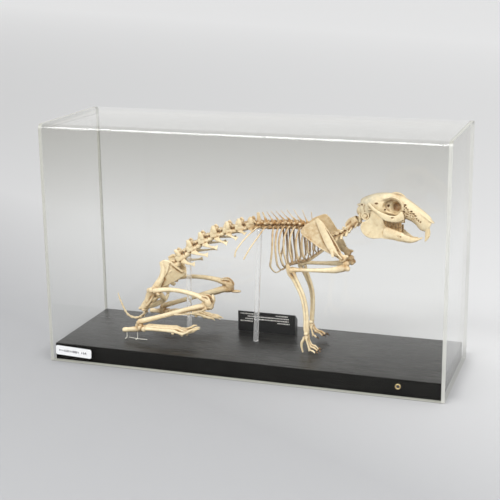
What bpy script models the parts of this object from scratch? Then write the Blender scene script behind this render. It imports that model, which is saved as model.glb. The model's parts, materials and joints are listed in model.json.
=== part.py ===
"""Rabbit skeleton, mounted on a black wooden base under a clear acrylic cover.

+X points to the head and +Z is up. The viewer stands on the -Y side, so the near limbs are the
right ones. The origin is on the floor, under the middle of the cover. Sizes are in millimetres,
and object_from() turns them into metres.
"""
import math
from collections import namedtuple

import bpy
import bmesh
from mathutils import Matrix, Vector

OBJECT_NAME = "cased_rabbit_skeleton"
MM = 0.001
GAP = 0.3
SIDES = {"right": -1.0, "left": 1.0}
ALONG_X = Vector((1.0, 0.0, 0.0))
ALONG_Y = Vector((0.0, 1.0, 0.0))
ALONG_Z = Vector((0.0, 0.0, 1.0))

# Cover, base and fittings
COVER_LENGTH = 460.0
COVER_DEPTH = 147.2
COVER_HEIGHT = 277.2
SHEET = 4.0
COVER_BEND = 6.0
BASE_LENGTH = 451.0
BASE_DEPTH = 138.0
BASE_HEIGHT = 20.2
BASE_EDGE = 1.0
SCREWS = {
    "cover_screw_front": (180.0, -1.0),
    "cover_screw_back_right": (180.0, 1.0),
    "cover_screw_back_left": (-180.0, 1.0),
}
SCREW_HEIGHT = 13.5
SCREW_HEAD_RADIUS = 3.2
SCREW_HEAD_STANDS = 1.0
SCREW_SHANK_RADIUS = 1.5
SCREW_LENGTH = 12.0
SCREW_SIDES = 8
STICKER_LENGTH = 45.0
STICKER_WIDTH = 11.0
STICKER_THICKNESS = 0.4
STICKER_CENTRE = (-200.0, 13.2)
STICKER_TILT = math.radians(2.2)
LABEL_X = (-36.0, 34.6)
LABEL_PROFILE = ((35.0, 0.0), (35.0, 24.2), (36.5, 24.2), (45.5, 16.5), (45.5, 0.0))
ROD_RADIUS = 3.0
FRONT_ROD = ((-3.6, 3.4, BASE_HEIGHT + GAP), (1.9, 5.0, 153.2))
HIND_ROD = ((-87.4, 6.5, BASE_HEIGHT + GAP), (-85.4, 5.0, 119.0))
WIRE_RADIUS = 0.6
HEEL_WIRES = {"stand_heel_wire_back": -152.5, "stand_heel_wire_front": -139.0}
HEEL_WIRE_Y = -28.5
HEEL_WIRE_REACH = 5.5
HEEL_WIRE_TOP = 29.0

# Spine line in the plane of symmetry, as (x, z), from the sacrum to the axis
MIDDLE_Y = 5.0
SPINE_LINE = (
    (-100.8, 104.2), (-88.5, 117.5), (-74.1, 128.6), (-59.8, 138.2), (-44.5, 145.8),
    (-29.2, 150.4), (-14.9, 155.0), (-2.8, 156.8), (8.0, 157.2), (20.0, 158.2), (32.0, 159.2),
    (44.0, 159.8), (54.0, 159.4), (63.0, 157.4), (71.0, 154.2), (77.5, 151.8), (83.5, 150.4),
    (89.5, 151.0), (95.0, 153.3), (100.5, 156.8), (106.0, 161.0),
)
LUMBAR_LENGTHS = (18.1, 18.2, 17.2, 17.1, 16.0, 15.0, 12.2)
THORACIC_LENGTHS = (8.9, 7.9, 7.3, 6.8, 6.5, 6.4, 6.3, 6.3, 6.3, 6.3, 6.3, 6.3)
CERVICAL_LENGTHS = (6.2, 6.1, 6.1, 6.5, 6.9)
SACRUM_LINE = ((-101.2, 103.8), (-111.0, 93.5), (-120.0, 83.0), (-127.5, 73.0), (-133.5, 63.0))
TAIL_LINE = (
    (-133.8, 62.4), (-138.2, 53.5), (-141.3, 45.0), (-145.9, 39.0), (-151.0, 35.0),
    (-158.5, 34.0), (-165.5, 36.8), (-169.7, 42.5), (-172.7, 48.8), (-175.7, 55.8), (-177.8, 63.2),
)
TAIL_BONES = 14
AXIS_LINE = ((106.6, 161.5), (113.2, 167.4))
ATLAS_LINE = ((113.6, 167.8), (117.4, 172.6))

# Tips of the side processes of the loin, as along, up and out, from the back one forwards
LUMBAR_WINGS = (
    (14.5, -16.0, 13.0), (20.5, -15.0, 15.0), (19.0, -13.0, 15.5), (17.0, -11.5, 15.5),
    (15.0, -7.5, 14.5), (10.0, -5.0, 12.0), (6.0, -3.5, 9.5),
)

# Rib cage, from the first rib to the tenth: half width of the cage, x halfway down, low end (x, z)
# of the bone, drop of its cartilage below that, and x of its end on the breastbone
RIBS = (
    (9.5, 74.0, 73.0, 141.0, 0.0, 77.5), (12.0, 68.7, 67.8, 137.0, 0.0, 70.5),
    (14.0, 62.0, 63.0, 133.0, 0.0, 64.0), (16.0, 56.0, 57.5, 128.5, 0.4, 58.0),
    (18.0, 49.9, 52.0, 124.5, 0.8, 52.0), (19.5, 42.7, 45.8, 121.5, 1.2, 46.5),
    (20.5, 36.0, 39.5, 120.0, 2.0, 42.5), (21.5, 31.0, 35.0, 119.5, 4.0, 40.5),
    (22.5, 27.3, 28.9, 118.5, 6.0, 38.0), (23.0, 23.9, 20.7, 116.5, 7.5, 35.5),
)
# Out and down of the arc of a rib, and how far it has gone from the head's x to the one halfway
RIB_ARC = (
    (0.12, 0.02, 0.0), (0.42, -0.06, 0.2), (0.76, 0.06, 0.6), (0.95, 0.30, 0.95), (1.0, 0.58, 1.0),
    (0.95, 0.82, 1.0), (0.84, 1.0, 1.0),
)
OTHER_HALF_DEPTH = 60.0
STERNUM_LINE = (
    (33.5, 113.5), (39.7, 116.7), (49.5, 119.6), (59.2, 122.4), (69.0, 129.5), (79.5, 138.0),
)

# Joint centres of the limbs
HIP = {"right": (-122.5, -12.5, 76.5), "left": (-122.5, 22.5, 76.5)}
KNEE = {"right": (-51.0, -24.5, 73.0), "left": (-47.0, 34.0, 77.5)}
ANKLE = {"right": (-137.5, -27.5, 41.0), "left": (-133.5, 35.0, 42.0)}
HEEL = {"right": (-156.0, -28.5, 29.8), "left": (-148.5, 36.0, 34.6)}
MIDFOOT = {"right": (-127.0, -28.5, 34.2), "left": (-119.5, 35.5, 34.8)}
TOE_TIP = {"right": (-60.0, -29.5, 40.5), "left": (-56.5, 35.0, 31.0)}
GLENOID = {"right": (104.5, -16.0, 132.0), "left": (100.0, 25.5, 128.0)}
SCAPULA_TOP = {"right": (69.0, -12.5, 170.5), "left": (69.0, 22.0, 167.2)}
ELBOW = {"right": (44.5, -13.5, 114.6), "left": (46.0, 24.5, 113.6)}
WRIST = {"right": (63.4, -17.5, 45.5), "left": (56.0, 29.5, 44.0)}
FINGER_TIP = {"right": (79.8, -19.0, 21.6), "left": (75.5, 33.0, 24.0)}

BONE = (0.83, 0.74, 0.57)
FAR_BONE = (0.74, 0.62, 0.43)
FINISHES = {
    "bone": (BONE, 0.55, 0.0, 1.0),
    "far_bone": (FAR_BONE, 0.6, 0.0, 1.0),
    "black_base": ((0.025, 0.024, 0.022), 0.28, 0.0, 1.0),
    "clear_acrylic": ((0.9, 0.93, 0.94), 0.05, 0.0, 0.12),
    "brass": ((0.72, 0.52, 0.22), 0.35, 1.0, 1.0),
    "white_paper": ((0.9, 0.9, 0.87), 0.7, 0.0, 1.0),
    "black_label": ((0.02, 0.02, 0.02), 0.3, 0.0, 1.0),
    "steel_wire": ((0.6, 0.6, 0.58), 0.35, 1.0, 1.0),
}

Frame = namedtuple("Frame", "start run front outer")


def remove_everything():
    for item in list(bpy.data.objects):
        bpy.data.objects.remove(item, do_unlink=True)


def new_collection(name):
    group = bpy.data.collections.new(name)
    bpy.context.scene.collection.children.link(group)
    return group


def new_material(name, colour, roughness, metallic, alpha):
    finish = bpy.data.materials.new(name)
    finish.use_nodes = True
    shader = finish.node_tree.nodes["Principled BSDF"]
    shader.inputs["Base Color"].default_value = (*colour, 1.0)
    shader.inputs["Roughness"].default_value = roughness
    shader.inputs["Metallic"].default_value = metallic
    shader.inputs["Alpha"].default_value = alpha
    finish.diffuse_color = (*colour, alpha)
    return finish


# Shapes


def object_from(shape):
    """A mesh object in metres from a closed bmesh in millimetres."""
    shape.normal_update()
    bmesh.ops.recalc_face_normals(shape, faces=shape.faces)
    bmesh.ops.scale(shape, vec=(MM, MM, MM), verts=shape.verts)
    mesh = bpy.data.meshes.new("piece")
    shape.to_mesh(mesh)
    shape.free()
    return bpy.data.objects.new("piece", mesh)


def smoothed(stations, steps):
    """Rows along a Catmull-Rom curve through the stations, with steps to each stretch."""
    rows = [Vector(row) for row in stations]
    rows = [rows[0] * 2 - rows[1]] + rows + [rows[-1] * 2 - rows[-2]]
    found = []
    for a, b, c, d in zip(rows, rows[1:], rows[2:], rows[3:]):
        for step in range(steps):
            t = step / steps
            bend = (a * 2 - b * 5 + c * 4 - d) * t * t + (b * 3 - a - c * 3 + d) * t ** 3
            found.append((b * 2 + (c - a) * t + bend) / 2)
    return found + [rows[-2]]


def tube(stations, wide_axis, sides=6, steps=1):
    """A closed bone along stations (x, y, z, half width, half depth), oval across its run."""
    rows = smoothed(stations, steps)
    places = [Vector(row[:3]) for row in rows]
    shape = bmesh.new()
    rings = []
    for i, row in enumerate(rows):
        run = places[min(i + 1, len(rows) - 1)] - places[max(i - 1, 0)]
        deep = run.cross(wide_axis).normalized()
        wide = deep.cross(run).normalized()
        ring = []
        for k in range(sides):
            turn = 2 * math.pi * (k + 0.5) / sides
            offset = wide * row[3] * math.cos(turn) + deep * row[4] * math.sin(turn)
            ring.append(shape.verts.new(places[i] + offset))
        rings.append(ring)
    for low, high in zip(rings, rings[1:]):
        for k in range(sides):
            following = (k + 1) % sides
            shape.faces.new((low[k], low[following], high[following], high[k]))
    shape.faces.new(rings[0])
    shape.faces.new(rings[-1])
    bmesh.ops.triangulate(shape, faces=shape.faces)
    return object_from(shape)


def knob(centre, sizes, axes=(ALONG_X, ALONG_Y, ALONG_Z), detail=2):
    """An egg of half sizes along three axes."""
    shape = bmesh.new()
    bmesh.ops.create_icosphere(shape, subdivisions=detail, radius=1.0)
    for vert in shape.verts:
        spread = sum((axis * size * part for axis, size, part in zip(axes, sizes, vert.co)), Vector())
        vert.co = Vector(centre) + spread
    return object_from(shape)


def slab(outline, origin, u_axis, v_axis, thickness):
    """A flat plate with the outline (u, v), half its thickness each way from the origin's plane."""
    shape = bmesh.new()
    normal = u_axis.cross(v_axis).normalized()
    low = [Vector(origin) + u_axis * u + v_axis * v - normal * thickness / 2 for u, v in outline]
    face = shape.faces.new([shape.verts.new(corner) for corner in low])
    flat = bmesh.ops.triangulate(shape, faces=[face])["faces"]
    grown = bmesh.ops.extrude_face_region(shape, geom=flat)["geom"]
    moved = [item for item in grown if isinstance(item, bmesh.types.BMVert)]
    bmesh.ops.translate(shape, vec=normal * thickness, verts=moved)
    return object_from(shape)


def box(low, high, edge=0.0):
    shape = bmesh.new()
    bmesh.ops.create_cube(shape, size=1.0)
    for vert in shape.verts:
        vert.co = Vector([a + (b - a) * (part + 0.5) for a, b, part in zip(low, high, vert.co)])
    if edge:
        bmesh.ops.bevel(shape, geom=shape.edges, offset=edge, segments=1, affect="EDGES")
    return object_from(shape)


def cylinder(start, end, radius, sides=12):
    run = Vector(end) - Vector(start)
    turn = run.to_track_quat("Z", "Y").to_matrix().to_4x4()
    shape = bmesh.new()
    bmesh.ops.create_cone(
        shape, cap_ends=True, segments=sides, radius1=radius, radius2=radius, depth=run.length,
        matrix=Matrix.Translation((Vector(start) + Vector(end)) / 2) @ turn,
    )
    return object_from(shape)


# Joining and cutting


def apply_modifiers(item):
    bpy.context.view_layer.update()
    graph = bpy.context.evaluated_depsgraph_get()
    mesh = bpy.data.meshes.new_from_object(item.evaluated_get(graph))
    item.modifiers.clear()
    item.data = mesh


def combine(item, others, operation):
    """Apply one Boolean of the item with the others, and remove the others."""
    if not others:
        return
    group = new_collection("others")
    for other in others:
        group.objects.link(other)
    joint = item.modifiers.new(operation.lower(), "BOOLEAN")
    joint.operation = operation
    joint.solver = "MANIFOLD"
    joint.operand_type = "COLLECTION"
    joint.collection = group
    apply_modifiers(item)
    for other in others:
        bpy.data.objects.remove(other, do_unlink=True)
    bpy.data.collections.remove(group)


def keep_largest(item):
    """Leave only the closed surface that holds the most."""
    shape = bmesh.new()
    shape.from_mesh(item.data)
    waiting = set(shape.faces)
    surfaces = []
    while waiting:
        edge_of_growth = [waiting.pop()]
        surface = list(edge_of_growth)
        while edge_of_growth:
            face = edge_of_growth.pop()
            for edge in face.edges:
                for other in edge.link_faces:
                    if other in waiting:
                        waiting.remove(other)
                        edge_of_growth.append(other)
                        surface.append(other)
        held = sum(face.calc_center_median().dot(face.normal) * face.calc_area() for face in surface)
        surfaces.append((held, surface))
    surfaces.sort(key=lambda pair: pair[0])
    for _, surface in surfaces[:-1]:
        bmesh.ops.delete(shape, geom=surface, context="FACES")
    bmesh.ops.triangulate(shape, faces=shape.faces)
    shape.to_mesh(item.data)
    shape.free()


def grown(item, distance):
    """A copy whose surface stands this far outside the item's."""
    most_stretch = 2.0
    shape = bmesh.new()
    shape.from_mesh(item.data)
    shape.normal_update()
    moves = [
        (vert, vert.normal * distance * MM * min(vert.calc_shell_factor(), most_stretch))
        for vert in shape.verts
    ]
    for vert, move in moves:
        vert.co += move
    mesh = bpy.data.meshes.new("grown")
    shape.to_mesh(mesh)
    shape.free()
    return bpy.data.objects.new("grown", mesh)


class Model:
    """The finished objects, by name, and what they are made of."""

    def __init__(self):
        self.collection = new_collection(OBJECT_NAME)
        self.finishes = {name: new_material(name, *look) for name, look in FINISHES.items()}
        self.nodes = {}

    def add(self, name, pieces, finish, cutters=(), clear_of=()):
        """Join the pieces, cut them, keep them a gap away from finished neighbours, and store them."""
        node = pieces[0]
        node.name = node.data.name = name
        self.collection.objects.link(node)
        combine(node, pieces[1:], "UNION")
        neighbours = [grown(self.nodes[other], GAP + 0.05) for other in clear_of]
        combine(node, list(cutters) + neighbours, "DIFFERENCE")
        keep_largest(node)
        node.data.materials.clear()
        node.data.materials.append(self.finishes[finish])
        node.data.shade_smooth()
        node.data.set_sharp_from_angle(angle=math.radians(50))
        self.nodes[name] = node
        return node


# Frames: a bone's own axes, from its start along its run, with its front and its outer side


def limb_frame(start, end, front_hint, side):
    run = Vector(end) - Vector(start)
    front = Vector(front_hint)
    front = (front - run * front.dot(run) / run.length_squared).normalized()
    outer = run.cross(front).normalized()
    if outer.y * SIDES[side] < 0:
        outer = -outer
    return Frame(Vector(start), run, front, outer)


def spine_frame(back, front):
    """The frame of a vertebra between two joints (x, z), its front being dorsal."""
    start = Vector((back[0], MIDDLE_Y, back[1]))
    run = Vector((front[0], MIDDLE_Y, front[1])) - start
    return Frame(start, run, Vector((-run.z, 0.0, run.x)).normalized(), ALONG_Y)


def at(frame, u, v, w):
    """The place at u of the run, v mm to the front and w mm out."""
    return frame.start + frame.run * u + frame.front * v + frame.outer * w


def in_frame(frame, rows):
    return [(*at(frame, u, v, w), wide, deep) for u, v, w, wide, deep in rows]


def shaft(frame, rows, sides=6, steps=1):
    """A bone along the frame's run: rows of u, v, w, half size to the front, half size out."""
    return tube(in_frame(frame, rows), frame.front, sides, steps)


def process(frame, rows, sides=4):
    """A process off the run: rows of u, v, w, half size along the run, half size across."""
    return tube(in_frame(frame, rows), frame.run, sides)


def lump(frame, u, v, w, sizes, detail=2):
    axes = (frame.run.normalized(), frame.front, frame.outer)
    return knob(at(frame, u, v, w), sizes, axes, detail)


def walk(line, lengths):
    """Joints (x, z) along a smooth line, each the given length from the last."""
    fine = smoothed([(x, z, 0.0) for x, z in line], 12)
    joints = [fine[0]]
    wanted = list(lengths)
    left = wanted.pop(0)
    place = fine[0]
    for following in fine[1:]:
        stretch = (following - place).length
        while wanted and stretch >= left:
            place = place + (following - place) * (left / stretch)
            joints.append(place)
            stretch -= left
            left = wanted.pop(0)
        left -= stretch
        place = following
    return [(joint[0], joint[1]) for joint in joints + [fine[-1]]]


# Case


def rounded_gate(half_depth, height, bend, arc_steps):
    """The outline of a sheet bent down at both sides, as (y, z), from the back foot to the front."""
    outline = [(half_depth, 0.0)]
    for step in range(arc_steps + 1):
        turn = math.pi / 2 * step / arc_steps
        outline.append(
            (half_depth - bend + bend * math.cos(turn), height - bend + bend * math.sin(turn))
        )
    return outline + [(-y, z) for y, z in reversed(outline)]


def screw_bores():
    bores = []
    for x, side in SCREWS.values():
        face = side * COVER_DEPTH / 2
        outside = (x, face + side * SCREW_LENGTH, SCREW_HEIGHT)
        inside = (x, face - side * (SCREW_LENGTH + GAP), SCREW_HEIGHT)
        bores.append(cylinder(outside, inside, SCREW_SHANK_RADIUS + GAP, SCREW_SIDES))
    return bores


def add_case(model):
    half = BASE_LENGTH / 2
    model.add(
        "case_base",
        [box((-half, -BASE_DEPTH / 2, 0.0), (half, BASE_DEPTH / 2, BASE_HEIGHT), BASE_EDGE)],
        "black_base", cutters=screw_bores(),
    )
    outside = rounded_gate(COVER_DEPTH / 2, COVER_HEIGHT, COVER_BEND, 5)
    inside = rounded_gate(COVER_DEPTH / 2 - SHEET, COVER_HEIGHT - SHEET, COVER_BEND - SHEET, 5)
    wrap_length = COVER_LENGTH - 2 * (SHEET + GAP)
    model.add(
        "cover_wrap",
        [slab(outside + inside[::-1], (0.0, 0.0, 0.0), ALONG_Y, ALONG_Z, wrap_length)],
        "clear_acrylic", cutters=screw_bores(),
    )
    for end, side in (("left", -1.0), ("right", 1.0)):
        middle = side * (COVER_LENGTH - SHEET) / 2
        panel = slab(outside, (middle, 0.0, 0.0), ALONG_Y, ALONG_Z, SHEET)
        model.add(f"cover_end_{end}", [panel], "clear_acrylic")
    for name, (x, side) in SCREWS.items():
        face = side * COVER_DEPTH / 2
        tip = (x, face - side * SCREW_LENGTH, SCREW_HEIGHT)
        under_head = (x, face + side * GAP, SCREW_HEIGHT)
        in_head = (x, face + side * SCREW_HEAD_STANDS / 2, SCREW_HEIGHT)
        outer = (x, face + side * SCREW_HEAD_STANDS, SCREW_HEIGHT)
        head = cylinder(under_head, outer, SCREW_HEAD_RADIUS)
        shank = cylinder(in_head, tip, SCREW_SHANK_RADIUS, SCREW_SIDES)
        model.add(name, [head, shank], "brass")


def add_sticker(model):
    along = Vector((math.cos(STICKER_TILT), 0.0, -math.sin(STICKER_TILT)))
    up = Vector((math.sin(STICKER_TILT), 0.0, math.cos(STICKER_TILT)))
    half_length = STICKER_LENGTH / 2
    half_width = STICKER_WIDTH / 2
    corners = ((-half_length, -half_width), (half_length, -half_width),
               (half_length, half_width), (-half_length, half_width))
    face = -COVER_DEPTH / 2 - GAP - STICKER_THICKNESS / 2
    paper = slab(corners, (STICKER_CENTRE[0], face, STICKER_CENTRE[1]), along, up, STICKER_THICKNESS)
    model.add("front_sticker", [paper], "white_paper")


def add_label(model):
    length = LABEL_X[1] - LABEL_X[0]
    middle = ((LABEL_X[0] + LABEL_X[1]) / 2, 0.0, BASE_HEIGHT + GAP)
    block = slab(LABEL_PROFILE, middle, ALONG_Y, ALONG_Z, length)
    model.add("label_block", [block], "black_label")


def add_stand(model):
    for name, (foot, top), bone in (
        ("stand_rod_front", FRONT_ROD, "thoracic_spine"),
        ("stand_rod_hind", HIND_ROD, "lumbar_spine"),
    ):
        model.add(name, [cylinder(foot, top, ROD_RADIUS)], "clear_acrylic", clear_of=(bone,))
    level = BASE_HEIGHT + GAP + WIRE_RADIUS
    line = (
        (HEEL_WIRE_Y - HEEL_WIRE_REACH, level), (HEEL_WIRE_Y - HEEL_WIRE_REACH / 4, level),
        (HEEL_WIRE_Y, level + 2 * WIRE_RADIUS), (HEEL_WIRE_Y, HEEL_WIRE_TOP),
    )
    for name, x in HEEL_WIRES.items():
        wire = tube([(x, y, z, WIRE_RADIUS, WIRE_RADIUS) for y, z in line], ALONG_X)
        model.add(name, [wire], "steel_wire", clear_of=("tarsus_right",))


# Skull and jaw

TOOTH_SPACING = 3.05
TOOTH_WIDTH = 4.2


def mid(x, out, z, side=1.0):
    return (x, MIDDLE_Y + side * out, z)


def skull_pieces():
    profile = (
        (114.8, 189.6, 178.0, 7.5), (118.0, 193.4, 176.5, 11.2), (124.5, 198.4, 176.0, 13.2),
        (132.0, 202.6, 177.0, 13.6), (140.0, 204.5, 178.5, 12.0), (148.0, 204.8, 179.5, 10.2),
        (156.0, 203.8, 177.5, 9.8), (164.0, 201.6, 175.2, 10.4), (171.0, 197.3, 173.4, 9.8),
        (178.5, 191.3, 170.0, 8.4), (185.5, 186.9, 164.6, 7.0), (191.0, 183.0, 160.5, 5.8),
        (194.4, 180.0, 162.4, 4.6),
    )
    rows = [(x, MIDDLE_Y, (top + low) / 2, half, (top - low) / 2) for x, top, low, half in profile]
    nasals = [(190.0, MIDDLE_Y, 180.6, 6.0, 2.8), (195.5, MIDDLE_Y, 177.0, 5.0, 2.1),
              (199.6, MIDDLE_Y, 174.4, 3.4, 1.0)]
    crest = [(118.0, MIDDLE_Y, 190.6, 4.5, 1.8), (113.6, MIDDLE_Y, 189.6, 3.0, 1.0)]
    pieces = [tube(rows, ALONG_Y, 12), tube(nasals, ALONG_Y, 6), tube(crest, ALONG_Y, 4)]
    for side in SIDES.values():
        pieces += skull_side_pieces(side)
    return pieces


def skull_side_pieces(side):
    arch = (
        (*mid(131.0, 12.0, 193.6, side), 2.4, 2.0), (*mid(136.0, 17.2, 190.8, side), 2.2, 1.3),
        (*mid(145.0, 19.6, 185.6, side), 3.0, 1.1), (*mid(154.0, 19.4, 182.4, side), 3.3, 1.2),
        (*mid(162.0, 17.6, 181.8, side), 3.8, 1.6), (*mid(168.5, 11.0, 182.8, side), 4.2, 3.0),
    )
    spur = ((*mid(142.0, 18.4, 185.0, side), 1.4, 1.0), (*mid(132.0, 17.6, 185.2, side), 0.7, 0.7))
    brow = ((*mid(148.5, 13.6, 201.4, side), 1.2, 0.7), (*mid(156.0, 12.2, 203.0, side), 3.4, 0.8),
            (*mid(163.5, 12.8, 201.2, side), 0.9, 0.7))
    gum = ((*mid(147.5, 9.3, 178.0, side), 2.6, 2.6), (*mid(151.0, 9.6, 177.0, side), 3.2, 3.4),
           (*mid(158.4, 9.5, 176.2, side), 3.7, 3.7), (*mid(168.5, 8.6, 176.2, side), 3.2, 3.5))
    jugular = ((*mid(119.0, 9.6, 181.0, side), 2.6, 1.6), (*mid(118.0, 9.8, 170.6, side), 1.0, 0.8))
    ear = ((*mid(126.5, 9.5, 181.0, side), 3.0, 3.0), (*mid(125.6, 12.8, 190.0, side), 2.0, 1.8))
    tooth = ((*mid(191.4, 2.0, 168.0, side), 1.9, 1.7), (*mid(193.0, 1.8, 161.0, side), 1.6, 1.6),
             (*mid(192.4, 1.7, 157.0, side), 1.5, 1.4), (*mid(190.0, 1.7, 153.4, side), 1.4, 0.5))
    pieces = [
        tube(arch, ALONG_Z, 6), tube(spur, ALONG_Z, 4), tube(brow, ALONG_Y, 4), tube(gum, ALONG_Y, 5),
        tube(jugular, ALONG_X, 4), tube(ear, ALONG_X, 5), tube(tooth, ALONG_Y, 5),
        knob(mid(126.6, 8.2, 178.6, side), (5.2, 4.2, 5.0)),
        knob(mid(117.2, 3.8, 176.8, side), (2.6, 2.4, 3.4), detail=1),
    ]
    return pieces + [tooth_row(side, 9.6, 148.3, 6, 172.3, 175.2, 177.0)]


def tooth_row(side, out, x, count, tip, neck, root):
    """Cheek teeth side by side, with their tips at one height and their shared root at another."""
    outline = [(x + TOOTH_SPACING * count, root), (x, root)]
    for number in range(count):
        back = x + TOOTH_SPACING * number
        outline += [(back, neck), (back + 0.3, tip), (back + TOOTH_SPACING - 0.4, tip)]
    outline.append((x + TOOTH_SPACING * count, neck))
    return slab(outline, mid(0.0, out, 0.0, side), ALONG_X, ALONG_Z, TOOTH_WIDTH)


def skull_cutters():
    cutters = [knob(mid(199.0, 0.0, 170.4), (7.0, 3.6, 3.6), detail=1)]
    for side in SIDES.values():
        cutters.append(knob(mid(155.6, 12.6, 191.8, side), (11.6, 10.4, 9.8)))
        cutters.append(knob(mid(177.0, 8.6, 183.0, side), (4.5, 1.8, 3.6), detail=1))
    return cutters


JAW_OUTLINE = (
    (122.6, 170.2), (123.0, 165.4), (125.6, 161.4), (129.6, 158.0), (134.1, 156.0), (139.3, 155.6),
    (143.7, 157.4), (150.0, 157.4), (157.3, 156.0), (165.0, 153.9), (167.0, 160.0), (167.0, 168.0),
    (150.0, 170.4), (147.0, 176.0), (141.0, 181.5), (136.5, 187.6), (131.5, 188.6), (130.0, 184.0),
    (129.5, 178.0), (125.5, 173.5),
)


def jaw_pieces():
    pieces = [knob(mid(175.5, 0.0, 154.6), (6.0, 3.2, 2.6), detail=1)]
    for side in SIDES.values():
        hinge = Vector(mid(122.0, 15.2, 0.0, side))
        lean = (Vector(mid(167.0, 7.2, 0.0, side)) - hinge) / 45.0
        flat = [(x - hinge.x, z) for x, z in JAW_OUTLINE]
        pieces.append(slab(flat, hinge, lean, ALONG_Z, 2.2))
        body = ((*mid(148.0, 10.4, 164.5, side), 2.4, 5.6), (*mid(158.0, 9.0, 163.6, side), 2.8, 6.0),
                (*mid(165.5, 7.0, 160.0, side), 2.6, 6.0), (*mid(170.5, 4.6, 156.4, side), 2.2, 3.4),
                (*mid(177.0, 1.9, 155.1, side), 2.5, 2.3))
        incisor = ((*mid(175.0, 1.7, 154.6, side), 1.5, 1.5), (*mid(182.0, 1.5, 155.0, side), 1.4, 1.4),
                   (*mid(187.6, 1.5, 157.0, side), 1.3, 0.6))
        condyle = ((*mid(134.5, 13.4, 188.0, side), 1.6, 1.2),
                   (*mid(130.8, 14.2, 188.2, side), 1.8, 1.2))
        pieces += [tube(body, ALONG_Y, 6), tube(incisor, ALONG_Y, 6), tube(condyle, ALONG_Y, 6)]
        pieces.append(tooth_row(side, 9.6, 150.3, 5, 171.7, 168.6, 164.7))
    return pieces


# Spine


def spine_loft(joints, stops, first=1.0, last=1.0):
    """The row of bodies with the arches over them, as one run.

    Each stop is a place t of each vertebra, then the half width and half depth of its body, and the
    height and half width of its arch. They shrink or grow evenly from the first vertebra to the last.
    """
    shape = bmesh.new()
    rings = []
    frames = frames_of(joints)
    for i, frame in enumerate(frames):
        size = first + (last - first) * i / max(len(frames) - 1, 1)
        ended = [(0.99, *stops[0][1:])] if frame is frames[-1] else []
        for t, wide, deep, high, arch in list(stops) + ended:
            half = ((-deep, wide * 0.5), (-deep * 0.25, wide), (deep * 0.7, wide * 0.85), (high, arch))
            outline = list(half) + [(v, -w) for v, w in reversed(half)]
            rings.append([shape.verts.new(at(frame, t, v * size, w * size)) for v, w in outline])
    for low, high in zip(rings, rings[1:]):
        for k in range(len(low)):
            following = (k + 1) % len(low)
            shape.faces.new((low[k], low[following], high[following], high[k]))
    shape.faces.new(rings[0])
    shape.faces.new(rings[-1])
    bmesh.ops.triangulate(shape, faces=shape.faces)
    return object_from(shape)


LUMBAR_STOPS = ((0.01, 5.0, 3.9, 5.2, 2.2), (0.28, 4.2, 3.2, 9.0, 3.4), (0.8, 4.3, 3.4, 10.6, 5.0))
THORACIC_STOPS = ((0.01, 4.3, 3.2, 4.0, 2.0), (0.5, 3.5, 2.7, 5.6, 2.4))
CERVICAL_STOPS = ((0.01, 4.2, 2.8, 3.2, 3.2), (0.5, 3.7, 2.7, 4.8, 4.2))
SACRAL_STOPS = ((0.01, 6.2, 4.2, 5.2, 3.4), (0.5, 5.4, 3.6, 6.4, 3.0))
SACRAL_OUTS = (11.0, 7.6, 5.6, 4.6)
STOUT_SPINES = 3


def lumbar_pieces(frame, wing):
    """The spine on top, and on each side the front facet and the wing that reaches out and forward."""
    along, up, out = wing
    tip = 0.5 + along / frame.run.length
    middle = 0.5 + 0.45 * along / frame.run.length
    pieces = [process(frame, ((0.45, 7.0, 0.0, 4.0, 1.4), (0.7, 14.2, 0.0, 2.6, 1.0)))]
    for side in SIDES.values():
        front_facet = ((0.7, 5.0, 3.6 * side, 2.6, 1.5), (0.95, 13.0, 4.8 * side, 1.9, 1.0))
        winged = (
            (0.55, -0.8, 2.5 * side, 3.6, 1.4), (middle, up * 0.55, out * 0.62 * side, 2.2, 0.9),
            (tip, up, out * side, 2.7, 0.7),
        )
        pieces += [process(frame, front_facet), process(frame, winged)]
    return pieces


def thoracic_pieces(frame, lean, high, stout):
    """The leaning spine on top, and on each side the seat of a rib."""
    length = frame.run.length
    spine = (
        (0.5, 4.0, 0.0, 2.4, 1.0),
        (0.5 + 0.45 * lean / length, 10.0, 0.0, 0.6 + stout, 0.6),
        (0.5 + lean / length, high, 0.0, 0.5 + stout, 0.6),
    )
    pieces = [process(frame, spine)]
    for side in SIDES.values():
        rib_seat = ((0.55, 2.6, 2.4 * side, 2.0, 1.6), (0.6, 4.6, 6.6 * side, 1.3, 1.2))
        pieces.append(process(frame, rib_seat))
    return pieces


def cervical_pieces(frame):
    """A low crest on top, and on each side the wing that points back and down."""
    pieces = [process(frame, ((0.5, 3.6, 0.0, 1.8, 1.0), (0.4, 6.2, 0.0, 1.0, 0.7)))]
    for side in SIDES.values():
        wing = ((0.6, -0.8, 3.0 * side, 2.3, 1.5), (0.3, -3.6, 7.4 * side, 1.9, 0.8))
        pieces.append(process(frame, wing))
    return pieces


def spine_joints():
    return walk(SPINE_LINE, LUMBAR_LENGTHS + THORACIC_LENGTHS + CERVICAL_LENGTHS)


def frames_of(joints):
    return [spine_frame(back, front) for back, front in zip(joints, joints[1:])]


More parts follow.
